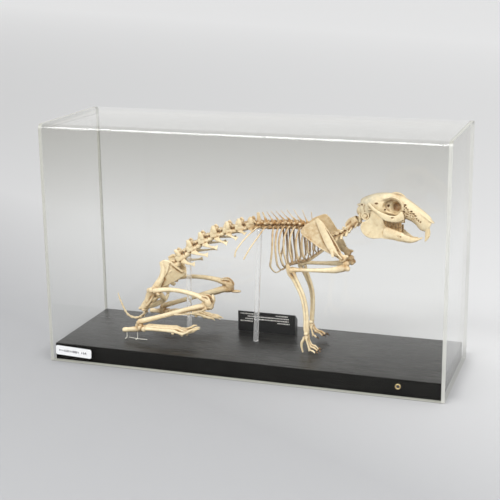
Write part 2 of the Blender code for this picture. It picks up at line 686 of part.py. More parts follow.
def add_spine(model):
    joints = spine_joints()
    lumbar_end = len(LUMBAR_LENGTHS)
    thoracic_end = lumbar_end + len(THORACIC_LENGTHS)
    neck = joints[thoracic_end:]
    chest = joints[lumbar_end:thoracic_end + 1]
    loin = joints[:lumbar_end + 1]

    pieces = [spine_loft(neck, CERVICAL_STOPS)]
    for frame in frames_of(neck):
        pieces += cervical_pieces(frame)
    model.add("neck_vertebrae", pieces, "bone", clear_of=("axis",))

    pieces = [spine_loft(chest, THORACIC_STOPS)]
    for i, frame in enumerate(frames_of(chest)):
        forward = i / (len(THORACIC_LENGTHS) - 1)
        lean = -0.5 - 7.5 * forward
        high = 16.0 + 6.5 * forward
        pieces += thoracic_pieces(frame, lean, high, 1.4 if i < STOUT_SPINES else 0.3)
    pieces += free_rib_pieces(chest)
    model.add("thoracic_spine", pieces, "bone", clear_of=("neck_vertebrae",))

    pieces = [spine_loft(loin, LUMBAR_STOPS, 1.0, 0.88)]
    for frame, wing in zip(frames_of(loin), LUMBAR_WINGS):
        pieces += lumbar_pieces(frame, wing)
    model.add("lumbar_spine", pieces, "bone", clear_of=("thoracic_spine",))

    add_sacrum(model)
    add_tail(model)


AXIS_BLADE = (
    (110.4, 175.6), (114.0, 174.2), (112.8, 170.0), (108.0, 164.0), (102.8, 163.4), (101.8, 167.6),
    (105.4, 172.8),
)


def add_axis(model):
    """The body under its tall blade, and the wings that point back."""
    frame = spine_frame(*AXIS_LINE)
    body = ((0.01, 1.4, 0.0, 3.6, 4.4), (0.5, 1.8, 0.0, 3.4, 3.8), (0.97, 1.8, 0.0, 3.8, 5.0))
    pieces = [
        shaft(frame, body, 8),
        slab(AXIS_BLADE, (0.0, MIDDLE_Y, 0.0), ALONG_X, ALONG_Z, 2.2),
    ]
    for side in SIDES.values():
        wing = ((0.4, -0.4, 3.0 * side, 2.2, 1.3), (-0.1, -2.0, 6.6 * side, 1.3, 0.8))
        pieces.append(process(frame, wing))
    model.add("axis", pieces, "bone", clear_of=("atlas",))


def add_atlas(model):
    """A ring with two broad wings, open along the spine's canal."""
    frame = spine_frame(*ATLAS_LINE)
    pieces = [shaft(frame, ((0.0, 1.4, 0.0, 5.8, 6.4), (1.0, 1.4, 0.0, 5.6, 6.8)), 8)]
    for side in SIDES.values():
        wing = (
            (0.5, -1.0, 4.5 * side, 2.6, 1.6), (0.3, -1.6, 8.6 * side, 3.0, 1.0),
            (0.0, -2.4, 11.4 * side, 2.0, 0.7),
        )
        pieces.append(process(frame, wing))
    canal = shaft(frame, ((-0.4, 1.8, 0.0, 3.7, 3.8), (1.4, 1.8, 0.0, 3.7, 3.8)), 8)
    model.add("atlas", pieces, "bone", cutters=[canal], clear_of=("skull", "mandible"))


def add_sacrum(model):
    """Four fused vertebrae, each smaller than the one before it, with their wings and spines."""
    pieces = [spine_loft(SACRUM_LINE, SACRAL_STOPS, 1.0, 0.5)]
    for i, (frame, out) in enumerate(zip(frames_of(SACRUM_LINE), SACRAL_OUTS)):
        size = 1.0 - 0.17 * i
        spine = ((0.5, 4.5 * size, 0.0, 3.4, 1.4), (0.42, 12.5 * size, 0.0, 2.4, 1.4))
        pieces.append(process(frame, spine))
        for side in SIDES.values():
            wing = (
                (0.45, 0.5, 2.5 * side, 5.0 * size, 3.0 * size),
                (0.5, 0.5, out * side, 4.4 * size, 2.6 * size),
            )
            pieces.append(process(frame, wing, 5))
    model.add("sacrum", pieces, "bone", clear_of=("lumbar_spine",))


def add_tail(model):
    """Bones that shorten and thin towards the tip, waisted between their ends."""
    rows = []
    line = smoothed([(x, z, 0.0) for x, z in TAIL_LINE], 6)
    total = sum((b - a).length for a, b in zip(line, line[1:]))
    shares = [1.0 - 0.66 * i / (TAIL_BONES - 1) for i in range(TAIL_BONES)]
    joints = walk(TAIL_LINE, [total * share / sum(shares) for share in shares])
    for i, frame in enumerate(frames_of(joints)):
        shrink = 1.0 - 0.72 * i / TAIL_BONES
        for t, share in ((0.02, 1.0), (0.5, 0.66)):
            rows.append((*at(frame, t, 0.0, 0.0), 2.3 * shrink * share, 2.6 * shrink * share))
    rows.append((joints[-1][0], MIDDLE_Y, joints[-1][1], 0.5, 0.5))
    pieces = [tube([(x, y, z, deep, wide) for x, y, z, wide, deep in rows], ALONG_Y, 5)]
    for i, frame in enumerate(frames_of(joints)[:2]):
        shrink = 1.0 - 0.16 * i
        for side in SIDES.values():
            wing = (
                (0.5, 0.0, 1.2 * side, 1.8 * shrink, 1.0 * shrink),
                (0.42, 0.0, 4.2 * side * shrink, 1.2 * shrink, 0.6),
            )
            pieces.append(process(frame, wing))
    model.add("tail", pieces, "bone", clear_of=("sacrum",))


# Ribs


def free_rib_pieces(chest_joints):
    """The last two ribs, which hang free: whole on the right, broken short on the left."""
    back, front = chest_joints[1], chest_joints[2]
    drops = (
        (back, ((-3.0, 8.0, 2.0), (-13.5, 17.0, -8.0), (-21.0, 22.0, -17.5), (-25.0, 24.0, -25.0),
                (-26.0, 24.0, -31.0))),
        (front, ((-2.5, 8.0, 1.5), (-9.0, 17.0, -9.0), (-17.0, 22.0, -21.5), (-23.5, 23.5, -33.5))),
    )
    pieces = []
    for (x, z), drop in drops:
        whole = [(x, MIDDLE_Y - 2.5, z, 1.2, 1.0)]
        whole += [(x + dx, MIDDLE_Y - out, z + dz, 1.1, 0.7) for dx, out, dz in drop]
        broken = ((x, MIDDLE_Y + 2.5, z, 1.2, 1.0), (x - 0.6, MIDDLE_Y + 8.0, z - 0.5, 1.2, 0.8),
                  (x - 1.6, MIDDLE_Y + 11.0, z - 4.5, 1.1, 0.8))
        pieces += [tube(whole, ALONG_X, 4), tube(broken, ALONG_X, 4)]
    return pieces


def sternum_height(x):
    for (x0, z0), (x1, z1) in zip(STERNUM_LINE, STERNUM_LINE[1:]):
        if x <= x1:
            return z0 + (z1 - z0) * (x - x0) / (x1 - x0)
    return STERNUM_LINE[-1][1]


def rib(side, head, width, halfway_x, low_x, low_z, dip, end_x):
    """One rib from its head on the spine, round the cage, and on as cartilage to the breastbone."""
    head_x, head_z = head
    rows = []
    for out, down, back in RIB_ARC:
        x = head_x + (halfway_x - head_x) * back + (low_x - halfway_x) * max(2 * down - 1, 0)
        y = MIDDLE_Y + side * max(out * width, 2.6)
        rows.append((x, y, head_z + (low_z - head_z) * down, 1.25, 0.75))
    end_z = sternum_height(end_x)
    for along, out, z in (
        (0.3, 0.62, low_z - dip), (0.65, 0.34, (low_z - dip + end_z) / 2 - 0.6),
    ):
        rows.append((low_x + (end_x - low_x) * along, MIDDLE_Y + side * width * out, z, 1.15, 0.8))
    rows.append((end_x, MIDDLE_Y + side * 1.6, end_z, 1.1, 0.9))
    return tube(rows, ALONG_X, 4)


def other_half(side, low, high):
    """A block over the other side of the middle plane, between two corners (x, z)."""
    near = MIDDLE_Y + side * GAP / 2
    far = MIDDLE_Y - side * OTHER_HALF_DEPTH
    return box((low[0], min(near, far), low[1]), (high[0], max(near, far), high[1]))


def add_ribs(model):
    joints = spine_joints()
    chest = joints[len(LUMBAR_LENGTHS):len(LUMBAR_LENGTHS) + len(THORACIC_LENGTHS) + 1]
    for name, side in SIDES.items():
        sternum = [(x, MIDDLE_Y + 1.5 * side, z, 1.9, 1.3) for x, z in STERNUM_LINE]
        pieces = [tube(sternum, ALONG_Z, 4)]
        for number, sizes in enumerate(RIBS):
            pieces.append(rib(side, chest[-1 - number], *sizes))
        cutter = other_half(side, (0.0, 90.0), (100.0, 190.0))
        model.add(
            f"rib_cage_{name}", pieces, finish_of(name), cutters=[cutter],
            clear_of=("thoracic_spine",),
        )


# Shoulder and fore limb

SCAPULA_OUTLINE = (
    (3.0, -3.0), (12.0, -6.5), (24.0, -11.9), (36.0, -15.3), (46.0, -18.3), (53.0, -18.0), (55.2, -13.6),
    (55.2, -6.0), (53.7, 0.7), (51.2, 7.3), (47.0, 9.0), (40.0, 8.0), (23.3, 6.2), (10.0, 3.4), (3.0, 2.8),
)


def finish_of(name):
    return "bone" if name == "right" else "far_bone"


def add_scapula(model, name):
    frame = limb_frame(GLENOID[name], SCAPULA_TOP[name], (1.0, 0.0, 1.0), name)
    pieces = [
        slab(SCAPULA_OUTLINE, frame.start, frame.run.normalized(), frame.front, 1.4),
        shaft(frame, ((0.13, 0.8, 3.4, 1.0, 0.9), (0.3, 1.0, 2.9, 0.8, 2.6), (0.6, 1.6, 1.9, 0.7, 1.9),
                      (0.97, 2.4, 0.6, 0.6, 0.5)), 4),
        process(frame, ((0.27, 0.4, 4.2, 2.0, 0.9), (0.18, -4.6, 4.4, 1.4, 0.7)), 4),
        shaft(frame, ((-0.01, 0.0, 0.0, 4.6, 3.8), (0.08, 0.0, 0.0, 3.6, 2.6), (0.22, -0.6, 0.0, 2.6, 1.0))),
        process(frame, ((0.03, 3.0, 0.0, 2.2, 1.6), (-0.02, 6.2, -0.6, 1.4, 1.2)), 5),
    ]
    neighbours = (f"rib_cage_{name}", "thoracic_spine")
    model.add(f"scapula_{name}", pieces, finish_of(name), clear_of=neighbours)


def add_humerus(model, name):
    shoulder = Vector(GLENOID[name]) + Vector((2.3, 0.0, -7.6))
    frame = limb_frame(shoulder, ELBOW[name], (0.0, 0.0, -1.0), name)
    pieces = [
        shaft(frame, ((-0.03, 1.0, 0.0, 4.4, 4.0), (0.1, 2.6, 0.4, 4.0, 3.2), (0.25, 3.4, 0.6, 3.3, 2.4),
                      (0.5, 2.6, 0.4, 2.4, 2.2), (0.75, 1.4, 0.0, 2.1, 2.2), (0.9, 0.4, 0.0, 2.6, 3.2),
                      (0.97, 0.2, 0.0, 3.2, 4.4), (1.02, 0.2, 0.0, 2.6, 4.2)), 7),
        lump(frame, -0.02, -2.2, -0.6, (4.2, 3.8, 4.0), 1),
        lump(frame, -0.05, 2.6, 2.4, (3.2, 3.0, 2.4), 1),
    ]
    neighbours = (f"scapula_{name}", f"rib_cage_{name}")
    model.add(f"humerus_{name}", pieces, finish_of(name), clear_of=neighbours)


def add_forearm(model, name):
    start = Vector(ELBOW[name]) + Vector((0.5, 0.0, -2.2))
    frame = limb_frame(start, WRIST[name], (1.0, 0.0, 0.0), name)
    radius = shaft(frame, (
        (0.02, 2.6, 0.8, 2.2, 3.0), (0.1, 3.4, 0.8, 1.8, 2.3), (0.25, 5.4, 0.4, 1.8, 2.1),
        (0.4, 7.1, 0.2, 1.8, 2.0), (0.57, 7.2, 0.0, 1.8, 2.1), (0.77, 5.1, -0.2, 1.9, 2.3),
        (0.95, 2.0, -0.4, 2.2, 2.9), (1.0, 1.4, -0.4, 2.2, 2.8),
    ))
    ulna = shaft(frame, (
        (-0.12, -2.4, 0.0, 2.0, 1.8), (-0.06, -2.9, 0.0, 2.7, 1.9), (0.03, -2.7, 0.0, 2.5, 1.9),
        (0.1, -0.8, 0.0, 2.1, 1.7), (0.25, 2.0, 0.6, 1.8, 1.6), (0.4, 3.9, 1.0, 1.6, 1.5),
        (0.57, 4.1, 1.2, 1.5, 1.5), (0.77, 2.3, 1.4, 1.5, 1.5), (0.95, -0.6, 1.8, 1.6, 1.6),
        (1.02, -1.2, 2.0, 1.2, 1.3),
    ))
    notch = process(frame, ((0.02, -1.5, 0.0, 1.6, 2.0), (0.0, 0.8, -0.8, 1.0, 1.6)), 4)
    above = (f"humerus_{name}", f"rib_cage_{name}")
    model.add(f"ulna_{name}", [ulna, notch], finish_of(name), clear_of=above)
    beside = (f"humerus_{name}", f"ulna_{name}")
    model.add(f"radius_{name}", [radius], finish_of(name), clear_of=beside)


# Place across the hand and length of each finger, from the thumb outwards
FINGERS = ((-6.2, 0.45), (-3.4, 0.92), (-0.4, 1.0), (2.6, 0.97), (5.6, 0.84))


def add_hand(model, name):
    """The wrist bones in two rows, five fingers, their joints and their claws."""
    side = SIDES[name]
    wrist = Vector(WRIST[name])
    tip = Vector(FINGER_TIP[name])
    floor = BASE_HEIGHT + GAP if name == "right" else tip.z - 1.5

    def place(x, out, z, wide, deep):
        return (wrist.x + x, wrist.y + side * out, wrist.z + z, wide, deep)

    wrist_rows = (
        place(0.0, 0.0, -0.4, 2.9, 4.2), place(0.2, 0.0, -5.0, 2.7, 4.8),
        place(1.0, 0.0, -10.0, 2.4, 5.0),
    )
    heel_of_hand = (
        place(-1.5, 2.5, -12.0, 1.8, 1.6), place(-4.6, 3.0, -18.0, 1.6, 1.5),
        place(-2.0, 3.0, -23.6, 0.8, 0.8),
    )
    pieces = [tube(wrist_rows, ALONG_X, 8), tube(heel_of_hand, ALONG_Y, 5)]
    palm = wrist + Vector((0.8, 0.0, -9.0))
    for out, size in FINGERS:
        reach = (tip.x - palm.x) * size
        y = palm.y + side * out * 0.8
        fan = side * out
        start = (palm.x, y, palm.z)
        knuckle = (palm.x + reach * 0.42, y + fan * 0.25, floor + 4.2)
        joint = (palm.x + reach * 0.72, y + fan * 0.45, floor + 3.4)
        last = (palm.x + reach * 0.90, y + fan * 0.55, floor + 1.8)
        claw = (palm.x + reach * 1.08, y + fan * 0.6, floor + 0.7)
        finger = (
            (*start, 1.5, 1.5), (*between(start, knuckle, 0.5), 1.1, 1.1), (*knuckle, 1.6, 1.5),
            (*between(knuckle, joint, 0.5), 1.1, 1.1), (*joint, 1.4, 1.3), (*last, 1.2, 1.1),
            (*claw, 0.4, 0.4),
        )
        pieces.append(tube(finger, ALONG_Y, 5))
    neighbours = (f"radius_{name}", f"ulna_{name}")
    model.add(f"hand_{name}", pieces, finish_of(name), clear_of=neighbours)


def between(a, b, t):
    return tuple(p + (q - p) * t for p, q in zip(a, b))


# Pelvis and hind limb


def add_hip_bone(model, name):
    """The blade that runs up to the sacrum, the seat bone, and the bar that closes the ring below."""
    side = SIDES[name]
    hip = Vector(HIP[name])

    def place(x, out, z, wide, deep):
        return (hip.x + x, MIDDLE_Y + side * out, hip.z + z, wide, deep)

    ilium = (
        place(17.5, 13.0, 35.6, 5.4, 1.0), place(18.2, 13.0, 29.5, 8.4, 1.4),
        place(15.6, 13.2, 21.0, 6.4, 1.5), place(11.6, 14.0, 13.5, 4.6, 1.9),
        place(6.2, 14.6, 6.5, 3.6, 2.6), place(0.0, 14.8, 0.0, 5.2, 3.6),
    )
    ischium = (
        place(1.0, 14.4, 1.0, 4.8, 3.4), place(-6.0, 13.4, -7.0, 3.6, 2.2),
        place(-14.0, 12.6, -16.0, 3.6, 1.9), place(-18.4, 12.4, -23.0, 5.0, 2.6),
        place(-19.4, 12.2, -27.0, 3.6, 2.2),
    )
    pubis = (
        place(2.0, 13.6, -2.0, 3.4, 2.4), place(6.5, 8.0, -10.0, 2.4, 1.7),
        place(4.5, 2.2, -16.5, 2.8, 1.7), place(-4.0, 1.9, -21.5, 3.0, 1.6),
        place(-12.0, 2.2, -25.0, 2.8, 1.6), place(-17.5, 7.0, -25.5, 2.4, 1.8),
        place(-19.0, 12.0, -25.0, 2.8, 1.8),
    )
    pieces = [tube(ilium, ALONG_X, 6), tube(ischium, ALONG_X, 6), tube(pubis, ALONG_Z, 6)]
    cutter = other_half(side, (-200.0, 20.0), (-60.0, 160.0))
    model.add(
        f"pelvis_{name}", pieces, finish_of(name), cutters=[cutter],
        clear_of=("sacrum", "lumbar_spine", "tail", f"femur_{name}"),
    )


def add_femur(model, name):
    frame = limb_frame(HIP[name], KNEE[name], (0.0, 0.0, 1.0), name)
    pieces = [
        shaft(frame, ((0.03, 1.2, 7.4, 3.6, 2.8), (0.10, 2.0, 7.2, 3.0, 2.9), (0.22, 3.6, 6.0, 2.3, 2.5),
                      (0.40, 5.4, 4.2, 2.0, 2.2), (0.60, 5.6, 2.8, 2.0, 2.2), (0.78, 4.0, 1.6, 2.4, 2.8),
                      (0.92, 1.6, 0.4, 3.8, 4.4), (0.99, 0.0, 0.0, 4.0, 5.0)), 7),
        lump(frame, 0.0, 0.0, -0.2, (3.6, 3.6, 3.6), 1),
        process(frame, ((0.0, 0.0, 0.5, 2.3, 2.3), (0.04, 1.2, 7.0, 3.2, 2.6)), 6),
        lump(frame, -0.03, 1.8, 8.2, (3.6, 3.4, 2.6), 1),
        lump(frame, 1.0, -2.0, 3.2, (4.4, 4.4, 2.6), 1),
        lump(frame, 1.0, -2.0, -3.2, (4.4, 4.4, 2.6), 1),
    ]
    model.add(f"femur_{name}", pieces, finish_of(name))


def add_shin(model, name):
    knee = Vector(KNEE[name]) + Vector((0.0, 0.0, -5.5))
    frame = limb_frame(knee, ANKLE[name], (0.0, 0.0, 1.0), name)
    tibia = shaft(frame, (
        (-0.015, 0.0, 0.0, 4.6, 5.4), (0.05, 0.4, 0.0, 4.2, 4.6), (0.14, 1.0, -0.4, 3.4, 3.2),
        (0.28, 1.0, -0.6, 2.6, 2.5), (0.5, 0.6, -0.4, 2.3, 2.3), (0.75, 0.2, 0.0, 2.2, 2.4),
        (0.93, 0.0, 0.0, 2.8, 3.4), (0.99, 0.0, 0.0, 3.0, 3.8),
    ), 7)
    fibula = shaft(frame, (
        (0.02, -0.8, 5.0, 1.8, 1.2), (0.12, -2.4, 4.6, 0.9, 0.8), (0.3, -2.4, 3.2, 0.8, 0.7),
        (0.46, -0.8, 1.4, 1.0, 0.9),
    ))
    crest = process(frame, ((0.04, 3.0, 0.0, 3.0, 1.6), (0.06, 5.6, 0.0, 2.2, 1.1)), 4)
    model.add(f"tibia_{name}", [tibia, fibula, crest], finish_of(name), clear_of=(f"femur_{name}",))


# Low and high end of the kneecap, which has slipped to the front of the left knee
PATELLA = {
    "right": ((-44.6, -25.0, 72.0), (-45.4, -25.0, 78.4)),
    "left": ((-44.6, 34.0, 68.4), (-32.6, 34.0, 69.2)),
}


def add_patella(model, name):
    low, high = PATELLA[name]
    middle = between(low, high, 0.5)
    bone = tube(((*low, 1.6, 1.1), (*middle, 2.8, 1.8), (*high, 1.8, 1.2)), ALONG_Y, 8)
    neighbours = (f"femur_{name}", f"tibia_{name}")
    model.add(f"patella_{name}", [bone], finish_of(name), clear_of=neighbours)


# Place across the foot, length and lift of each toe, from the inner one outwards
TOES = ((6.2, 0.93, 0.0), (2.1, 1.0, 0.4), (-2.1, 0.97, 0.5), (-6.2, 0.88, 0.2))


def add_foot(model, name):
    """The heel and ankle bones, then four long bones of the foot with their toes and claws."""
    side = SIDES[name]
    heel = Vector(HEEL[name])
    ankle = Vector(ANKLE[name])
    middle = Vector(MIDFOOT[name])
    tip = Vector(TOE_TIP[name])
    heel_rows = (
        (*heel, 3.0, 2.8), (*between(heel, middle, 0.22), 2.2, 2.8),
        (*between(heel, middle, 0.5), 3.6, 3.0), (*between(heel, middle, 0.8), 4.8, 3.0),
        (*middle, 5.6, 2.8),
    )
    instep = (
        (*(ankle + Vector((2.0, 0.0, -6.0))), 3.4, 2.6),
        (*(middle + Vector((-1.0, -side, 0.8))), 4.4, 3.0),
    )
    tarsus = [
        tube(heel_rows, ALONG_Y, 8),
        knob(ankle + Vector((0.5, 0.0, -4.4)), (5.0, 3.6, 3.6)),
        tube(instep, ALONG_Y, 6),
    ]
    model.add(f"tarsus_{name}", tarsus, finish_of(name), clear_of=(f"tibia_{name}",))

    root_low = middle + Vector((-0.2, -6.8, -2.4))
    root_high = middle + Vector((3.4, 6.8, 2.2))
    pieces = [box(root_low, root_high)]
    for out, size, lift in TOES:
        y = middle.y + side * out * 0.8
        fan = side * out
        reach = (tip.x - middle.x) * size
        drop = tip.z - middle.z
        start = (middle.x + 0.5, y, middle.z)
        knuckle = (middle.x + reach * 0.60, y + fan * 0.22, middle.z + 0.2 * drop + lift)
        joint = (middle.x + reach * 0.79, y + fan * 0.34, middle.z + drop * 0.35 + lift)
        last = (middle.x + reach * 0.90, y + fan * 0.40, middle.z + drop * 0.62)
        claw = (middle.x + reach * 1.02, y + fan * 0.44, middle.z + drop * 1.1)
        toe = (
            (*start, 2.1, 2.2), (*between(start, knuckle, 0.35), 1.5, 1.7),
            (*between(start, knuckle, 0.8), 1.5, 1.7), (*knuckle, 2.1, 2.4),
            (*between(knuckle, joint, 0.5), 1.4, 1.5), (*joint, 1.8, 1.9), (*last, 1.4, 1.5),
            (*claw, 0.5, 0.5),
        )
        pieces.append(tube(toe, ALONG_Y, 5))
    model.add(f"foot_{name}", pieces, finish_of(name), clear_of=(f"tarsus_{name}",))


def main():
    remove_everything()
    model = Model()
    add_case(model)
    add_sticker(model)
    add_label(model)
    model.add("mandible", jaw_pieces(), "bone")
    model.add("skull", skull_pieces(), "bone", cutters=skull_cutters(), clear_of=("mandible",))
    add_atlas(model)
    add_axis(model)
    add_spine(model)
    add_ribs(model)
    for name in SIDES:
        add_scapula(model, name)
        add_humerus(model, name)
        add_forearm(model, name)
        add_hand(model, name)
        add_femur(model, name)
        add_hip_bone(model, name)
        add_shin(model, name)
        add_patella(model, name)
        add_foot(model, name)
    add_stand(model)


main()
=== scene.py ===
"""A rabbit skeleton in a clear display case, as Blender tools that build it piece by piece.

+X points to the head and +Z is up. The viewer stands on the -Y side, so the near limbs are the
right ones. Shapes are worked out in millimetres and set down in metres.
"""
import json
import math
from collections import namedtuple

import bmesh
import bpy
import numpy as np
from bpy.props import FloatProperty, FloatVectorProperty, IntProperty, PointerProperty
from mathutils import Matrix, Vector
from mathutils.geometry import tessellate_polygon

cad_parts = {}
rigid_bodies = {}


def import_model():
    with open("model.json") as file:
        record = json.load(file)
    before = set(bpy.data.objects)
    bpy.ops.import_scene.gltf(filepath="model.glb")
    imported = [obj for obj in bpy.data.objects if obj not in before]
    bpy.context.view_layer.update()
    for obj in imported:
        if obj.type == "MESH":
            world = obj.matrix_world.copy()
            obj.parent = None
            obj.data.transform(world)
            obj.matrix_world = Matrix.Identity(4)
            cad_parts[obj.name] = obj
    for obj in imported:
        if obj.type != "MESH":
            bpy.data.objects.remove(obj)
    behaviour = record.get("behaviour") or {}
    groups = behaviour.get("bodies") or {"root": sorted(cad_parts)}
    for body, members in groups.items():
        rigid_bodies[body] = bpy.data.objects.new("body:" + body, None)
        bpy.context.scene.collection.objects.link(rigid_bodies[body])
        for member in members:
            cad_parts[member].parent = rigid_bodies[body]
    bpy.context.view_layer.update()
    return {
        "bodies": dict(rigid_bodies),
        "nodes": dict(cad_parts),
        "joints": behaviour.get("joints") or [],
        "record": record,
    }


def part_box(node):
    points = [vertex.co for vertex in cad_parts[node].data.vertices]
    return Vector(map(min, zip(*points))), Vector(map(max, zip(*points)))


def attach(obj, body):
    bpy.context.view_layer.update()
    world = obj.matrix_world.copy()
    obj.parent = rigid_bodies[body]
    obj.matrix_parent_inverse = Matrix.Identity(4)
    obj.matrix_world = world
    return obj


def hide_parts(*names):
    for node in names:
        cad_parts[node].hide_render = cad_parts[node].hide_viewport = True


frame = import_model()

bl_info = {
    "name": "Cased rabbit skeleton",
    "version": (1, 0, 0),
    "blender": (4, 5, 0),
    "location": "View3D > Sidebar > Rabbit",
    "description": "Builds a mounted rabbit skeleton, its stand and its clear display case",
    "category": "Object",
}

MM = 0.001
SIDES = {"right": -1, "left": 1}
FAR_SIDE = "left"
ALONG_X = Vector((1, 0, 0))
ALONG_Y = Vector((0, 1, 0))
ALONG_Z = Vector((0, 0, 1))

Frame = namedtuple("Frame", "start run front outer")
Piece = namedtuple("Piece", "points faces")


def box_mm(node):
    """The lowest and highest corners of a node of the frame, in millimetres."""
    low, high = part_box(node)
    return low / MM, high / MM


# Case sizes, read from the frame

BASE_LOW, BASE_HIGH = box_mm("case_base")
BASE_HEIGHT = BASE_HIGH.z
WRAP_LOW, WRAP_HIGH = box_mm("cover_wrap")
COVER_HEIGHT = WRAP_HIGH.z
COVER_HALF_DEPTH = WRAP_HIGH.y
PANEL_LOW, PANEL_HIGH = box_mm("cover_end_right")
SHEET = PANEL_HIGH.x - PANEL_LOW.x
LABEL_LOW, LABEL_HIGH = box_mm("label_block")
STICKER_LOW, STICKER_HIGH = box_mm("front_sticker")

# Spine line in the plane of symmetry, as (x, z), from the sacrum to the axis

MIDDLE_Y = 5
SPINE_LINE = (
    (-100.8, 104.2), (-88.5, 117.5), (-74.1, 128.6), (-59.8, 138.2), (-44.5, 145.8),
    (-29.2, 150.4), (-14.9, 155), (-2.8, 156.8), (8, 157.2), (20, 158.2), (32, 159.2),
    (44, 159.8), (54, 159.4), (63, 157.4), (71, 154.2), (77.5, 151.8), (83.5, 150.4),
    (89.5, 151), (95, 153.3), (100.5, 156.8), (106, 161),
)
LUMBAR_LENGTHS = (18.1, 18.2, 17.2, 17.1, 16, 15, 12.2)
THORACIC_LENGTHS = (8.9, 7.9, 7.3, 6.8, 6.5, 6.4, 6.3, 6.3, 6.3, 6.3, 6.3, 6.3)
CERVICAL_LENGTHS = (6.2, 6.1, 6.1, 6.5, 6.9)
LUMBAR_END = len(LUMBAR_LENGTHS)
THORACIC_END = LUMBAR_END + len(THORACIC_LENGTHS)
SACRUM_LINE = ((-101.2, 103.8), (-111, 93.5), (-120, 83), (-127.5, 73), (-133.5, 63))
TAIL_LINE = (
    (-133.8, 62.4), (-138.2, 53.5), (-141.3, 45), (-145.9, 39), (-151, 35),
    (-158.5, 34), (-165.5, 36.8), (-169.7, 42.5), (-172.7, 48.8), (-175.7, 55.8), (-177.8, 63.2),
)
TAIL_BONES = 14
WINGED_TAIL_BONES = 5
AXIS_LINE = ((106.6, 161.5), (113.2, 167.4))
ATLAS_LINE = ((113.6, 167.8), (117.4, 172.6))

# Tips of the side processes of the loin, as along, up and out, from the back one forwards
LUMBAR_WINGS = (
    (14.5, -16, 13), (20.5, -15, 15), (19, -13, 15.5), (17, -11.5, 15.5),
    (15, -7.5, 14.5), (10, -5, 12), (6, -3.5, 9.5),
)

# Rib cage, from the first rib to the tenth: half width of the cage, x halfway down, low end (x, z)
# of the bone, drop of its cartilage below that, and x of its end on the breastbone
RIBS = (
    (9.5, 74, 73, 141, 0, 77.5), (12, 68.7, 67.8, 137, 0, 70.5),
    (14, 62, 63, 133, 0, 64), (16, 56, 57.5, 128.5, 0.4, 58),
    (18, 49.9, 52, 124.5, 0.8, 52), (19.5, 42.7, 45.8, 121.5, 1.2, 46.5),
    (20.5, 36, 39.5, 120, 2, 42.5), (21.5, 31, 35, 119.5, 4, 40.5),
    (22.5, 27.3, 28.9, 118.5, 6, 38), (23, 23.9, 20.7, 116.5, 7.5, 35.5),
)
# Out and down of the arc of a rib, and how far it has gone from the head's x to the one halfway
RIB_ARC = (
    (0.12, 0.02, 0), (0.42, -0.06, 0.2), (0.76, 0.06, 0.6), (0.95, 0.30, 0.95), (1, 0.58, 1),
    (0.95, 0.82, 1), (0.84, 1, 1),
)
STERNUM_LINE = (
    (33.5, 113.5), (39.7, 116.7), (49.5, 119.6), (59.2, 122.4), (69, 129.5), (79.5, 138),
)

# Joint centres of the limbs
HIP = {"right": (-122.5, -12.5, 76.5), "left": (-122.5, 22.5, 76.5)}
KNEE = {"right": (-51, -24.5, 73), "left": (-47, 34, 77.5)}
ANKLE = {"right": (-137.5, -27.5, 41), "left": (-133.5, 35, 42)}
HEEL = {"right": (-156, -28.5, 29.8), "left": (-148.5, 36, 34.6)}
MIDFOOT = {"right": (-127, -28.5, 34.2), "left": (-119.5, 35.5, 34.8)}
TOE_TIP = {"right": (-60, -29.5, 40.5), "left": (-56.5, 35, 31)}
GLENOID = {"right": (104.5, -16, 132), "left": (100, 25.5, 128)}
SCAPULA_TOP = {"right": (69, -12.5, 170.5), "left": (69, 22, 167.2)}
ELBOW = {"right": (44.5, -13.5, 114.6), "left": (46, 24.5, 113.6)}
WRIST = {"right": (63.4, -17.5, 45.5), "left": (56, 29.5, 44)}
FINGER_TIP = {"right": (79.8, -19, 21.6), "left": (75.5, 33, 24)}

# Warm stains round the joints, as (x, y, z), reach and strength
STAINS = (
    ((-122, -12, 74), 11, 0.55), ((-50, -24, 70), 9, 0.6), ((-44, 34, 74), 12, 0.7),
    ((-140, -27, 40), 10, 0.5), ((-134, 34, 42), 16, 0.6), ((46, -14, 111), 7, 0.7),
    ((107, -15, 127), 9, 0.75), ((103, 26, 124), 10, 0.8), ((50, -8, 122), 13, 0.8),
    ((160, 5, 203.5), 6, 0.75), ((112, 3, 168), 9, 0.6),
    ((155, -4, 172), 9, 0.6), ((20, 5, 156), 30, 0.95), ((60, 5, 156), 26, 0.9),
    ((63, -17, 40), 8, 0.25), ((70, 30, 30), 14, 0.6), ((-136, -8, 56), 9, 0.4),
)
# Painted grey shade on the top and back of the skull, in the same way
GREY_SHADE_MARKS = (
    ((126, 1, 198), 15, 0.9), ((137, 5, 203.5), 12, 0.7), ((150, 4, 193), 7, 0.5),
    ((119, 4, 191), 8, 0.6),
)


# Sizes and colours that a user can change


def colour(name, words, default):
    return FloatVectorProperty(name=name, description=words, subtype="COLOR", size=3, min=0.0, max=1.0,
                               default=default)


